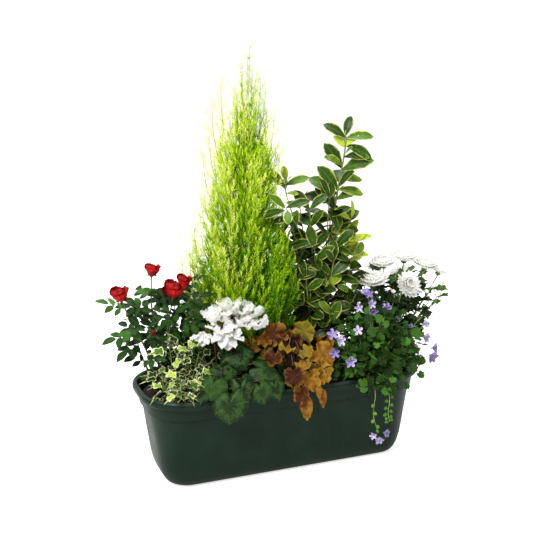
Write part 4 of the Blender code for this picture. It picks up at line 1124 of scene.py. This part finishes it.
def make_ivy():
    """Runners climb and spill from one foot, with leaves on short stalks to either side, turned about at
    random and lighter on the runners in front."""
    rng = np.random.default_rng(51)
    foot = (-190, -46, 132)
    # Runners: points along each in millimetres, number of leaves, and how light its lightest leaf is
    runners = [([foot, (-200, -48, 200), (-206, -52, 246)], 12, 1.00),
               ([foot, (-180, -50, 205), (-184, -56, 250)], 12, 1.10),
               ([foot, (-168, -50, 190), (-160, -60, 232)], 12, 0.80),
               ([foot, (-216, -56, 175), (-222, -62, 204)], 8, 0.70),
               ([foot, (-180, -70, 180), (-172, -86, 205)], 11, 0.80),
               ([foot, (-206, -72, 172), (-218, -88, 186)], 7, 0.90),
               ([foot, (-196, -84, 190), (-206, -112, 200), (-208, -122, 182)], 14, 1.25),
               ([foot, (-172, -78, 170), (-150, -104, 180)], 10, 0.50),
               ([foot, (-190, -30, 190), (-196, -26, 232)], 12, 0.25),
               ([foot, (-172, -30, 190), (-160, -30, 236)], 14, 0.25),
               ([foot, (-160, -40, 180), (-142, -60, 214)], 12, 0.25)]
    parts, vines = [], []
    for points, count, lightest in runners:
        path = smooth_path(metres(points), 14)
        vines.append(tube(path, np.linspace(0.0012, 0.0004, 14)))
        place, _ = along_path(path, np.linspace(0.35, 1.0, count))
        bearing = np.where(np.arange(count) % 2, 25.0, 205.0) - 70 * rng.uniform(0, 1, count)
        rise = rng.uniform(-35, 40, count)
        stalk = rng.uniform(0.006, 0.014, count)
        base = place + stalk[:, None] * aim(bearing, rise + 20)
        vines.append(spindles(place, base - place, stalk, 0.0005, np.full(count, 0.5)))
        size = rng.uniform(0.020, 0.030, count)
        width = rng.uniform(0.5, 0.8, count) * size
        tint = lightest * rng.uniform(0.0, 1.0, count) ** 1.2
        face = UP + LIGHTWARD + rng.normal(0, 0.6, (count, 3))
        parts.append(leaves(IVY_BLADE, base, aim(bearing, rise - 15), size, width, tint, face=face, bend=0.6,
                            fold=0.3, ripple=0.05, waves=5))
    make_piece("ivy_leaves", parts, IVY, ["ivy_foliage", "ivy_sprig"])
    make_piece("ivy_runners", vines, SOFT_STEM, ["ivy_stem"])


# Cyclamen


def round_crown(crown, radius, count, start=0):
    """Feet of stalks: on a circle round a crown, at the golden angle from one to the next."""
    return crown + radius * aim(GOLDEN_ANGLE * np.arange(count) + start, 0)


def arched_stalks(feet, heads, radius, lift=0.012):
    """Leaf stalks: up from the crown, over a high middle, and down into the foot of each blade."""
    stalks = []
    for foot, head in zip(feet, heads):
        x, y, _ = (foot + head) / 2
        high = (x, y, max(foot[2] + 0.02, head[2] + lift))
        stalks.append(tube(smooth_path([foot, high, head], 9), radius))
    return stalks


def make_cyclamen():
    """Marbled blades on arched stalks hang over the rim, and over them stand flowers of five swept-back
    petals round a nose, with two that hang open in front."""
    rng = np.random.default_rng(61)
    crown = np.array([-0.110, -0.052, 0.136])
    # Blades: where the stalk meets the blade, bearing, rise, length, width, tint
    rows = metres([
        (-106, -62, 240, 290, -28, 50, 62, 0.3), (-78, -90, 214, 338, -22, 66, 48, 0.55),
        (-148, -106, 208, 225, -50, 42, 48, 0.75), (-130, -124, 190, 240, -62, 62, 62, 0.5),
        (-78, -112, 192, 285, -58, 42, 44, 0.65), (-52, -108, 190, 300, -62, 42, 36, 0.4),
        (-110, -114, 200, 262, -70, 50, 46, 0.15), (-168, -100, 196, 232, -66, 38, 40, 0.1),
        (-128, -86, 222, 240, -42, 42, 50, 0.05), (-90, -30, 210, 60, 5, 46, 50, 0.3),
        (-130, -25, 205, 120, 5, 44, 50, 0.35), (-60, -60, 222, 340, -30, 44, 50, 0.1),
        (-100, -88, 200, 270, -60, 44, 50, 0.0), (-66, -88, 190, 300, -55, 42, 48, 0.05),
        (-146, -84, 190, 235, -55, 42, 46, 0.0), (-36, -70, 200, 320, -45, 40, 44, 0.25)], 0, 1, 2, 5, 6)
    blades = listed(CYCLAMEN_BLADE, rows, face=UP + LIGHTWARD, bend=0.45, fold=-0.06, cup=-0.20, ripple=0.05,
                    waves=4, thickness=0.0007)
    make_piece("cyclamen_leaves", [blades], CYCLAMEN, numbered("cyclamen_leaf", 5))
    stalks = arched_stalks(round_crown(crown, 0.012, len(rows)), rows[:, :3], 0.0010, lift=-0.016)
    # Flowers: place, spread of the petals in degrees, petal length, tint
    flowers = metres([
        (-132, -50, 276, 30, 26, 0.6), (-118, -54, 282, 40, 27, 0.65), (-103, -46, 286, 28, 28, 0.85),
        (-86, -50, 281, 34, 28, 0.9), (-70, -50, 275, 40, 28, 0.9), (-98, -62, 270, 50, 26, 0.8),
        (-124, -64, 262, 48, 25, 0.7), (-92, -30, 284, 34, 28, 0.9), (-62, -60, 264, 50, 24, 0.8),
        (-78, -66, 268, 58, 24, 0.8), (-110, -36, 278, 40, 27, 0.7), (-112, -66, 256, 60, 22, 0.6),
        (-76, -36, 272, 44, 26, 0.8)], 0, 1, 2, 4)
    petals = []
    for x, y, z, spread, length, tint in flowers:
        turn = 72 * np.arange(5) + rng.uniform(0, 72)
        out = aim(turn, 0)
        tints = tint + rng.uniform(-0.15, 0.15, 5)
        face = -out + rng.normal(0, 0.7, (5, 3))
        petals.append(leaves(CYCLAMEN_PETAL_BLADE, np.array([x, y, z]) + 0.004 * out, aim(turn, 90 - spread),
                             length, 0.62 * length, tints, face=face, bend=0.5, cup=0.22, ripple=0.16,
                             waves=3.5, thickness=0.0004))
        petals.append(bead((x, y, z + 0.004), (0, 0, -1), 0.010, 0.0045, 0.35, sides=8))
    # Flowers that hang open: place, bearing of the middle petal, its rise, petal length
    hanging = metres([(-116, -64, 266, 262, -62, 36), (-151, -50, 262, 255, -55, 26)], 0, 1, 2, 5)
    for *place, bearing, lowest, length in hanging:
        turn = bearing + np.array([-52, -24, 0, 24, 52])
        rise = lowest + np.array([30, 12, 0, 10, 28])
        petals.append(leaves(CYCLAMEN_PETAL_BLADE, np.repeat([place], 5, 0), aim(turn, rise), length,
                             0.48 * length, np.array([0.7, 0.6, 0.42, 0.6, 0.75]), bend=-0.35, cup=0.2,
                             ripple=0.12, thickness=0.0004))
    make_piece("cyclamen_petals", petals, WHITE_PETAL, numbered("cyclamen_bloom", 4))
    heads = np.vstack([flowers[:, :3], metres([(-116, -64, 262), (-151, -50, 258)])])
    stalks += arched_stalks(round_crown(crown, 0.010, len(heads), 60), heads, 0.0011, lift=0.004)
    make_piece("cyclamen_stalks", stalks, RED_STEM, numbered("cyclamen_stalk", 4))


# Heuchera


def make_heuchera():
    """Ruffled round blades on arched stalks, upright at the back and hanging over the rim in front, with
    narrow blades under the lowest."""
    crown = np.array([0.005, -0.050, 0.134])
    skin = dict(face=0.6 * UP + 1.2 * LIGHTWARD, cup=0.1, thickness=0.0006)
    # Blades: where the stalk meets the blade, bearing, rise, length, width, tint
    rows = metres([
        (-22, -52, 226, 200, 66, 44, 50, 0.36), (22, -50, 228, 300, 72, 38, 40, 0.95),
        (-50, -52, 226, 170, 30, 30, 30, 0.45), (2, -45, 212, 250, 60, 44, 48, 0.2),
        (44, -60, 214, 320, 30, 36, 38, 0.5), (-30, -60, 205, 230, 20, 40, 44, 0.1),
        (20, -74, 196, 280, -10, 40, 44, 0.12), (28, -76, 226, 312, -30, 50, 46, 0.6),
        (-10, -70, 226, 235, 10, 28, 30, 0.84), (10, -72, 218, 290, 5, 28, 28, 0.9),
        (-36, -52, 238, 205, 0, 26, 24, 0.55), (-30, -72, 222, 225, -20, 34, 34, 0.15),
        (6, -84, 206, 270, -15, 26, 28, 0.8), (28, -88, 205, 300, -45, 44, 40, 0.75),
        (-14, -100, 206, 262, -60, 40, 36, 0.12), (12, -102, 200, 285, -66, 42, 32, 0.62),
        (-6, -114, 180, 268, -80, 40, 28, 0.28), (26, -100, 198, 300, -62, 34, 26, 0.7),
        (-12, -30, 196, 200, 70, 48, 56, 0.02), (16, -28, 196, 300, 72, 48, 56, 0.05),
        (-40, -36, 190, 170, 60, 46, 52, 0.04), (44, -36, 186, 330, 60, 46, 52, 0.02),
        (10, -20, 215, 90, 20, 46, 50, 0.35), (-15, -25, 205, 140, 10, 42, 46, 0.55),
        (35, -30, 210, 40, 15, 44, 46, 0.75)], 0, 1, 2, 5, 6)
    # Narrow blades under the hanging ones: foot, bearing, rise, length, width, tint
    tails = metres([
        (1, -120, 160, 272, -84, 46, 21, 0.58), (-6, -118, 164, 262, -80, 34, 16, 0.2),
        (33, -112, 164, 285, -84, 36, 14, 0.5), (26, -112, 172, 280, -80, 26, 12, 0.62)], 0, 1, 2, 5, 6)
    parts = [listed(HEUCHERA_BLADE, rows, bend=0.45, fold=0.05, ripple=0.13, waves=6, **skin),
             listed(HEUCHERA_TAIL, tails, bend=0.3, fold=0.1, ripple=0.14, waves=4, **skin)]
    make_piece("heuchera_leaves", parts, HEUCHERA, numbered("heuchera_leaf", 5))
    stalks = arched_stalks(round_crown(crown, 0.010, len(rows)), rows[:, :3], 0.0011)
    make_piece("heuchera_stalks", stalks, RED_STEM)


# Chrysanthemum


def ray_bloom(centre, axis, radius, rings, tint):
    """A double daisy: rings of narrow petals round a button, each steeper and shorter than the one
    below."""
    up, turned = square_to(axis, (0.0, 1.0, 0.02))
    parts = []
    for ring in range(rings):
        count = 20 - 2 * ring
        turn = 360 / count * (np.arange(count) + 0.5 * ring)
        rise = np.full(count, 12.0 + 58.0 * ring / rings) + 5 * np.sin(3.1 * np.arange(count))
        length = radius * (1.0 - 0.5 * ring / rings)
        base = np.asarray(centre) + (0.1 * radius * aim(turn, 0) + [0, 0, 0.05 * radius * ring]) @ turned
        parts.append(leaves(RAY_PETAL, base, aim(turn, rise) @ turned, length, 0.26 * radius, tint, face=up,
                            bend=-0.35, cup=0.25, thickness=0.0003))
    return parts


def make_chrysanthemum():
    """Stems fan out from one foot to double blooms and buds, and the leafy ones carry downy lobed leaves
    at the golden angle."""
    rng = np.random.default_rng(71)
    foot = np.array([0.206, 0.036, 0.132])
    # Blooms: place, axis, radius, rings of petals, CAD bloom it stands for or 0
    blooms = [
        ((0.181, 0.008, 0.296), (-0.1, -0.15, 1.0), 0.031, 4, 1),
        ((0.246, 0.000, 0.290), (0.1, -0.85, 0.45), 0.026, 4, 2),
        ((0.222, 0.042, 0.318), (-0.1, -0.1, 1.0), 0.025, 5, 3),
        ((0.272, 0.058, 0.320), (0.05, -0.1, 1.0), 0.026, 5, 4),
        ((0.309, 0.046, 0.306), (0.15, -0.2, 1.0), 0.024, 5, 0),
        ((0.334, 0.038, 0.296), (0.4, -0.1, 1.0), 0.019, 4, 0),
        ((0.230, 0.078, 0.305), (-0.1, 0.5, 1.0), 0.024, 4, 0),
        ((0.280, 0.082, 0.285), (0.1, 0.8, 0.7), 0.022, 4, 0)]
    stalks, buds = [], []
    for number, (centre, axis, radius, rings, stands_for) in enumerate(blooms, 1):
        up = unit(np.asarray(axis, float))
        head = np.array(centre)
        middle = (0.45 * foot + 0.55 * head) + (0.0, 0.0, -0.012)
        path = smooth_path([foot, middle, head - 0.012 * up, head], 14)
        stalks.append(tube(path, np.linspace(0.0017, 0.0012, 14)))
        stalks.append(bead(head - 0.006 * up, up, 0.009, 0.0060, 0.5, sides=10))
        button = bead(head, up, 0.010, 0.006, 0.9, sides=10)
        parts = ray_bloom(centre, axis, radius, rings, 0.8) + [button]
        nodes = ["chrysanthemum_bloom_%d" % stands_for] if stands_for else []
        make_piece("chrysanthemum_petals_%d" % number, parts, WHITE_PETAL, nodes)
    # Bud stalks, thin and forked: points along each in millimetres
    for points in ([(270, 28, 205), (318, 20, 246), (313, 20, 276)],
                   [(270, 28, 205), (322, 20, 248), (336, 22, 280)],
                   [(262, 26, 215), (300, 16, 245), (296, 14, 268)],
                   [(222, 20, 225), (226, 8, 262), (222, 4, 278)]):
        path = smooth_path(metres(points), 10)
        stalks.append(tube(path, 0.0009, sides=5))
        buds.append(bead(path[-1] - (0, 0, 0.002), (0, -0.2, 1), 0.009, 0.0048, 0.4, sides=10, rows=7))
    make_piece("chrysanthemum_buds", buds, WHITE_PETAL)
    # Tops of the leafy stems
    heads = metres([
        (196, 30, 278), (214, 10, 262), (245, 15, 270), (262, 50, 290), (290, 40, 275),
        (318, 36, 268), (235, 70, 285), (275, 78, 262), (280, 5, 225), (300, 30, 232),
        (322, 20, 255), (190, 60, 262), (226, 20, 290), (250, 40, 300), (166, 30, 262),
        (180, 34, 286), (164, 56, 284), (178, 60, 308), (206, 48, 306), (240, 28, 304),
        (262, 34, 304), (286, 50, 300), (216, 24, 300), (300, 52, 288)])
    foliage = []
    per_stem = 15
    for head in heads:
        path = smooth_path([foot, 0.5 * foot + 0.5 * head + (0, 0, -0.010), head], 12)
        stalks.append(tube(path, np.linspace(0.0015, 0.0008, 12), sides=5))
        place, _ = along_path(path, np.linspace(0.35, 1.0, per_stem))
        bearing = GOLDEN_ANGLE * np.arange(per_stem) + rng.uniform(0, 360)
        size = rng.uniform(0.024, 0.038, per_stem)
        along = aim(bearing, rng.uniform(-10, 45, per_stem))
        foliage.append(leaves(DAISY_LEAF_BLADE, place, along, size, 0.8 * size,
                              rng.uniform(0.0, 0.8, per_stem), face=UP + 0.8 * LIGHTWARD, bend=0.5, fold=0.2,
                              ripple=0.03, waves=5))
    make_piece("chrysanthemum_leaves", foliage, DAISY_LEAF, ["chrysanthemum_foliage"])
    make_piece("chrysanthemum_stems", stalks, SOFT_STEM,
               ["chrysanthemum_stem"] + numbered("chrysanthemum_stalk", 4))


# Campanula


def make_campanula():
    """A mound of small leaves scattered through an ellipsoid by the golden angle, cut off behind the rim,
    with two leafy trails over the rim and starry five-lobed flowers."""
    rng = np.random.default_rng(81)
    crown = np.array([0.142, -0.060, 0.134])
    centre, half = np.array([0.146, -0.066, 0.176]), np.array([0.094, 0.060, 0.094])
    count = 700
    k = np.arange(count)
    rise = np.degrees(np.arcsin(np.clip(1.25 * (k + 0.5) / count - 0.28, -0.3, 0.98)))
    shell = rng.uniform(0.45, 1.04, count)
    out = aim(GOLDEN_ANGLE * k, rise)
    base = centre + out * half * shell[:, None]
    # Kept: leaves above the rim or in front of it, not far out from the wall, and short of the right end
    keep = (base[:, 1] > -0.134) & ((base[:, 2] > 0.172) | (base[:, 1] < -0.106)) & (base[:, 0] < 0.262)
    base, out = base[keep], out[keep]
    size = rng.uniform(0.011, 0.021, len(base))
    along = unit(out + rng.normal(0, 0.6, out.shape) + (0, 0, -0.35))
    tint = 0.75 * rng.uniform(0.0, 1.0, len(base)) ** 1.4
    face = UP + out + 0.4 * LIGHTWARD + rng.normal(0, 0.5, out.shape)
    foliage = [leaves(BELLFLOWER_LEAF_BLADE, base, along, size, 1.02 * size, tint, face=face, bend=0.3,
                      cup=0.08, ripple=0.04, waves=6)]
    stems = [tube(smooth_path([crown, 0.4 * crown + 0.6 * head + (0, 0, 0.012), head], 8), 0.0007, sides=4)
             for head in base[::9]]
    # Trails over the rim: points along each in millimetres
    first, second = (smooth_path(metres(points), 26) for points in (
        [(122, -76, 140), (123, -92, 172), (126, -108, 166), (130, -114, 140), (126, -116, 105),
         (136, -116, 72)],
        [(148, -76, 140), (149, -94, 172), (152, -110, 162), (156, -116, 130), (153, -118, 104),
         (157, -118, 88)]))
    stems += [tube(path, np.linspace(0.0011, 0.0006, 26)) for path in (first, second)]
    on_second = 13
    place, _ = along_path(second, np.linspace(0.45, 0.97, on_second))
    bearing = np.where(np.arange(on_second) % 2, -20.0, 160.0) + rng.uniform(-25, 25, on_second)
    size = rng.uniform(0.006, 0.009, on_second)
    foliage.append(leaves(BELLFLOWER_LEAF_BLADE, place + 0.002 * aim(bearing, 0), aim(bearing, -35), size,
                          0.0055, 0.75, face=(-0.3, -1, 0.3), bend=0.3))
    place, _ = along_path(first, (0.70, 0.78, 0.86, 0.93, 0.97))
    along = aim(np.array([200, 340, 190, 350, 250]), -30)
    foliage.append(leaves(BELLFLOWER_LEAF_BLADE, place, along, 0.008, 0.006, 0.85, face=(0, -1, 0.3)))
    make_piece("campanula_leaves", foliage, BELLFLOWER_LEAF,
               ["campanula_foliage", "campanula_tuft"])
    # Flowers: place, bearing and rise of the way each faces, width. The first eighteen are on stalks
    rows = metres([
        (56, -100, 248, 250, 35, 17), (64, -106, 240, 290, 10, 17),
        (57, -108, 222, 240, 0, 16), (79, -116, 207, 270, -5, 18),
        (103, -94, 249, 262, 20, 15), (151, -40, 292, 250, 30, 14),
        (148, -52, 279, 280, 15, 15), (149, -60, 268, 265, -5, 15),
        (124, -56, 275, 250, 20, 13), (178, -52, 266, 275, 20, 16),
        (193, -62, 253, 290, 5, 14), (219, -62, 229, 275, 10, 19),
        (262, -40, 226, 320, 25, 15), (258, -50, 206, 300, 0, 16),
        (226, -70, 194, 280, 0, 17), (214, -82, 174, 265, -5, 14),
        (268, -56, 173, 290, -15, 21), (276, -50, 184, 320, 5, 16),
        (134, -122, 63, 265, -25, 14), (146, -121, 71, 300, 0, 13),
        (126, -120, 70, 230, -5, 12), (160, -10, 285, 80, 40, 15),
        (200, -15, 255, 60, 30, 15), (120, -12, 262, 100, 40, 15)], 0, 1, 2, 5)
    on_stalks = 18
    face = aim(rows[:, 3], rows[:, 4])
    size = 1.25 * rows[:, 5]
    petals = leaves(STAR_FLOWER, rows[:, :3], np.cross(face, (0.3, 0.4, 0.87)), size, size,
                    rng.uniform(0.3, 0.95, len(rows)), face=face, cup=0.35, thickness=0.0004)
    make_piece("campanula_flowers", [petals], BELLFLOWER)
    bells = [bead(place - 0.004 * way, way, 0.006, 0.0020, 0.5, sides=6, rows=4)
             for place, way in zip(rows[:, :3], face)]
    for place in rows[:on_stalks, :3]:
        root = crown + 0.55 * (place - crown)
        path = smooth_path([root, (root + place) / 2 + (0, -0.004, 0.004), place], 7)
        stems.append(tube(path, 0.0006, sides=4))
    make_piece("campanula_stems", stems + bells, SOFT_STEM,
               ["campanula_stem", "campanula_trail_1", "campanula_trail_2"])


# Studio

FLOOR_REACH, FLOOR_DROP = 6.0, 0.0005
LIGHTS_AIM_AT, CAMERA_AIMS_AT = Vector((0.0, 0.0, 0.25)), Vector((0.0, 0.0, 0.329))
CAMERA_PLACE, CAMERA_LENS, CAMERA_SENSOR, CAMERA_SHIFT = (-0.588, -1.480, 0.731), 63.4, 36.0, -0.003
# Lights: name, place, size in metres, power in watts
LIGHTS = (("key", (-1.5, -1.3, 2.1), 0.9, 84.0), ("fill", (1.9, -1.6, 1.4), 1.6, 14.0),
          ("top", (0.3, 0.9, 2.3), 1.2, 50.0))


def turned_to(place, target):
    """The turn of a light or camera at a place whose -Z looks at a target."""
    return (target - Vector(place)).to_track_quat("-Z", "Y").to_euler()


def make_studio():
    """A pale floor, a white surround, and broad soft lights from the front left, the right and above. The
    floor and the surround show white to the camera, and give the plants less light than that."""
    floor = bpy.data.meshes.new("studio_floor")
    corners = [(x * FLOOR_REACH, y * FLOOR_REACH, -FLOOR_DROP)
               for x, y in ((-1, -1), (1, -1), (1, 1), (-1, 1))]
    floor.from_pydata(corners, [], [(0, 1, 2, 3)])
    paint, tree, shader = new_material("matt_white_floor", Roughness=0.9)
    shader.inputs["Base Color"].default_value = linear("#e4e4e2")
    shader.inputs["Emission Color"].default_value = linear("#ffffff")
    rays = add_node(tree, "ShaderNodeLightPath")
    glow = add_node(tree, "ShaderNodeMapRange",
                    {"Value": rays.outputs["Is Camera Ray"], "To Min": 0.0, "To Max": 0.7})
    tree.links.new(glow.outputs[0], shader.inputs["Emission Strength"])
    floor.materials.append(paint)
    ground = bpy.data.objects.new("studio_floor", floor)
    bpy.context.scene.collection.objects.link(ground)
    world = bpy.data.worlds.new("studio")
    world.use_nodes = True
    sky = world.node_tree
    rays = add_node(sky, "ShaderNodeLightPath")
    strength = add_node(sky, "ShaderNodeMapRange",
                        {"Value": rays.outputs["Is Camera Ray"], "To Min": 0.42, "To Max": 1.0})
    sky.nodes["Background"].inputs["Color"].default_value = linear("#ffffff")
    sky.links.new(strength.outputs[0], sky.nodes["Background"].inputs["Strength"])
    bpy.context.scene.world = world
    for name, place, size, power in LIGHTS:
        data = bpy.data.lights.new(name, "AREA")
        data.size = size
        data.energy = power
        light = bpy.data.objects.new(name, data)
        light.location = place
        light.rotation_euler = turned_to(place, LIGHTS_AIM_AT)
        bpy.context.scene.collection.objects.link(light)
    bpy.context.scene.view_settings.view_transform = "Standard"


def make_camera():
    """A camera in front and to the left, looking slightly down at the middle of the plants."""
    data = bpy.data.cameras.new("camera")
    data.lens = CAMERA_LENS
    data.sensor_width = CAMERA_SENSOR
    data.shift_x = CAMERA_SHIFT
    camera = bpy.data.objects.new("camera", data)
    camera.location = CAMERA_PLACE
    camera.rotation_euler = turned_to(CAMERA_PLACE, CAMERA_AIMS_AT)
    bpy.context.scene.collection.objects.link(camera)
    bpy.context.scene.camera = camera


make_trough()
make_compost()
make_cypress()
make_euonymus()
make_roses()
make_ivy()
make_cyclamen()
make_heuchera()
make_chrysanthemum()
make_campanula()
make_studio()
make_camera()
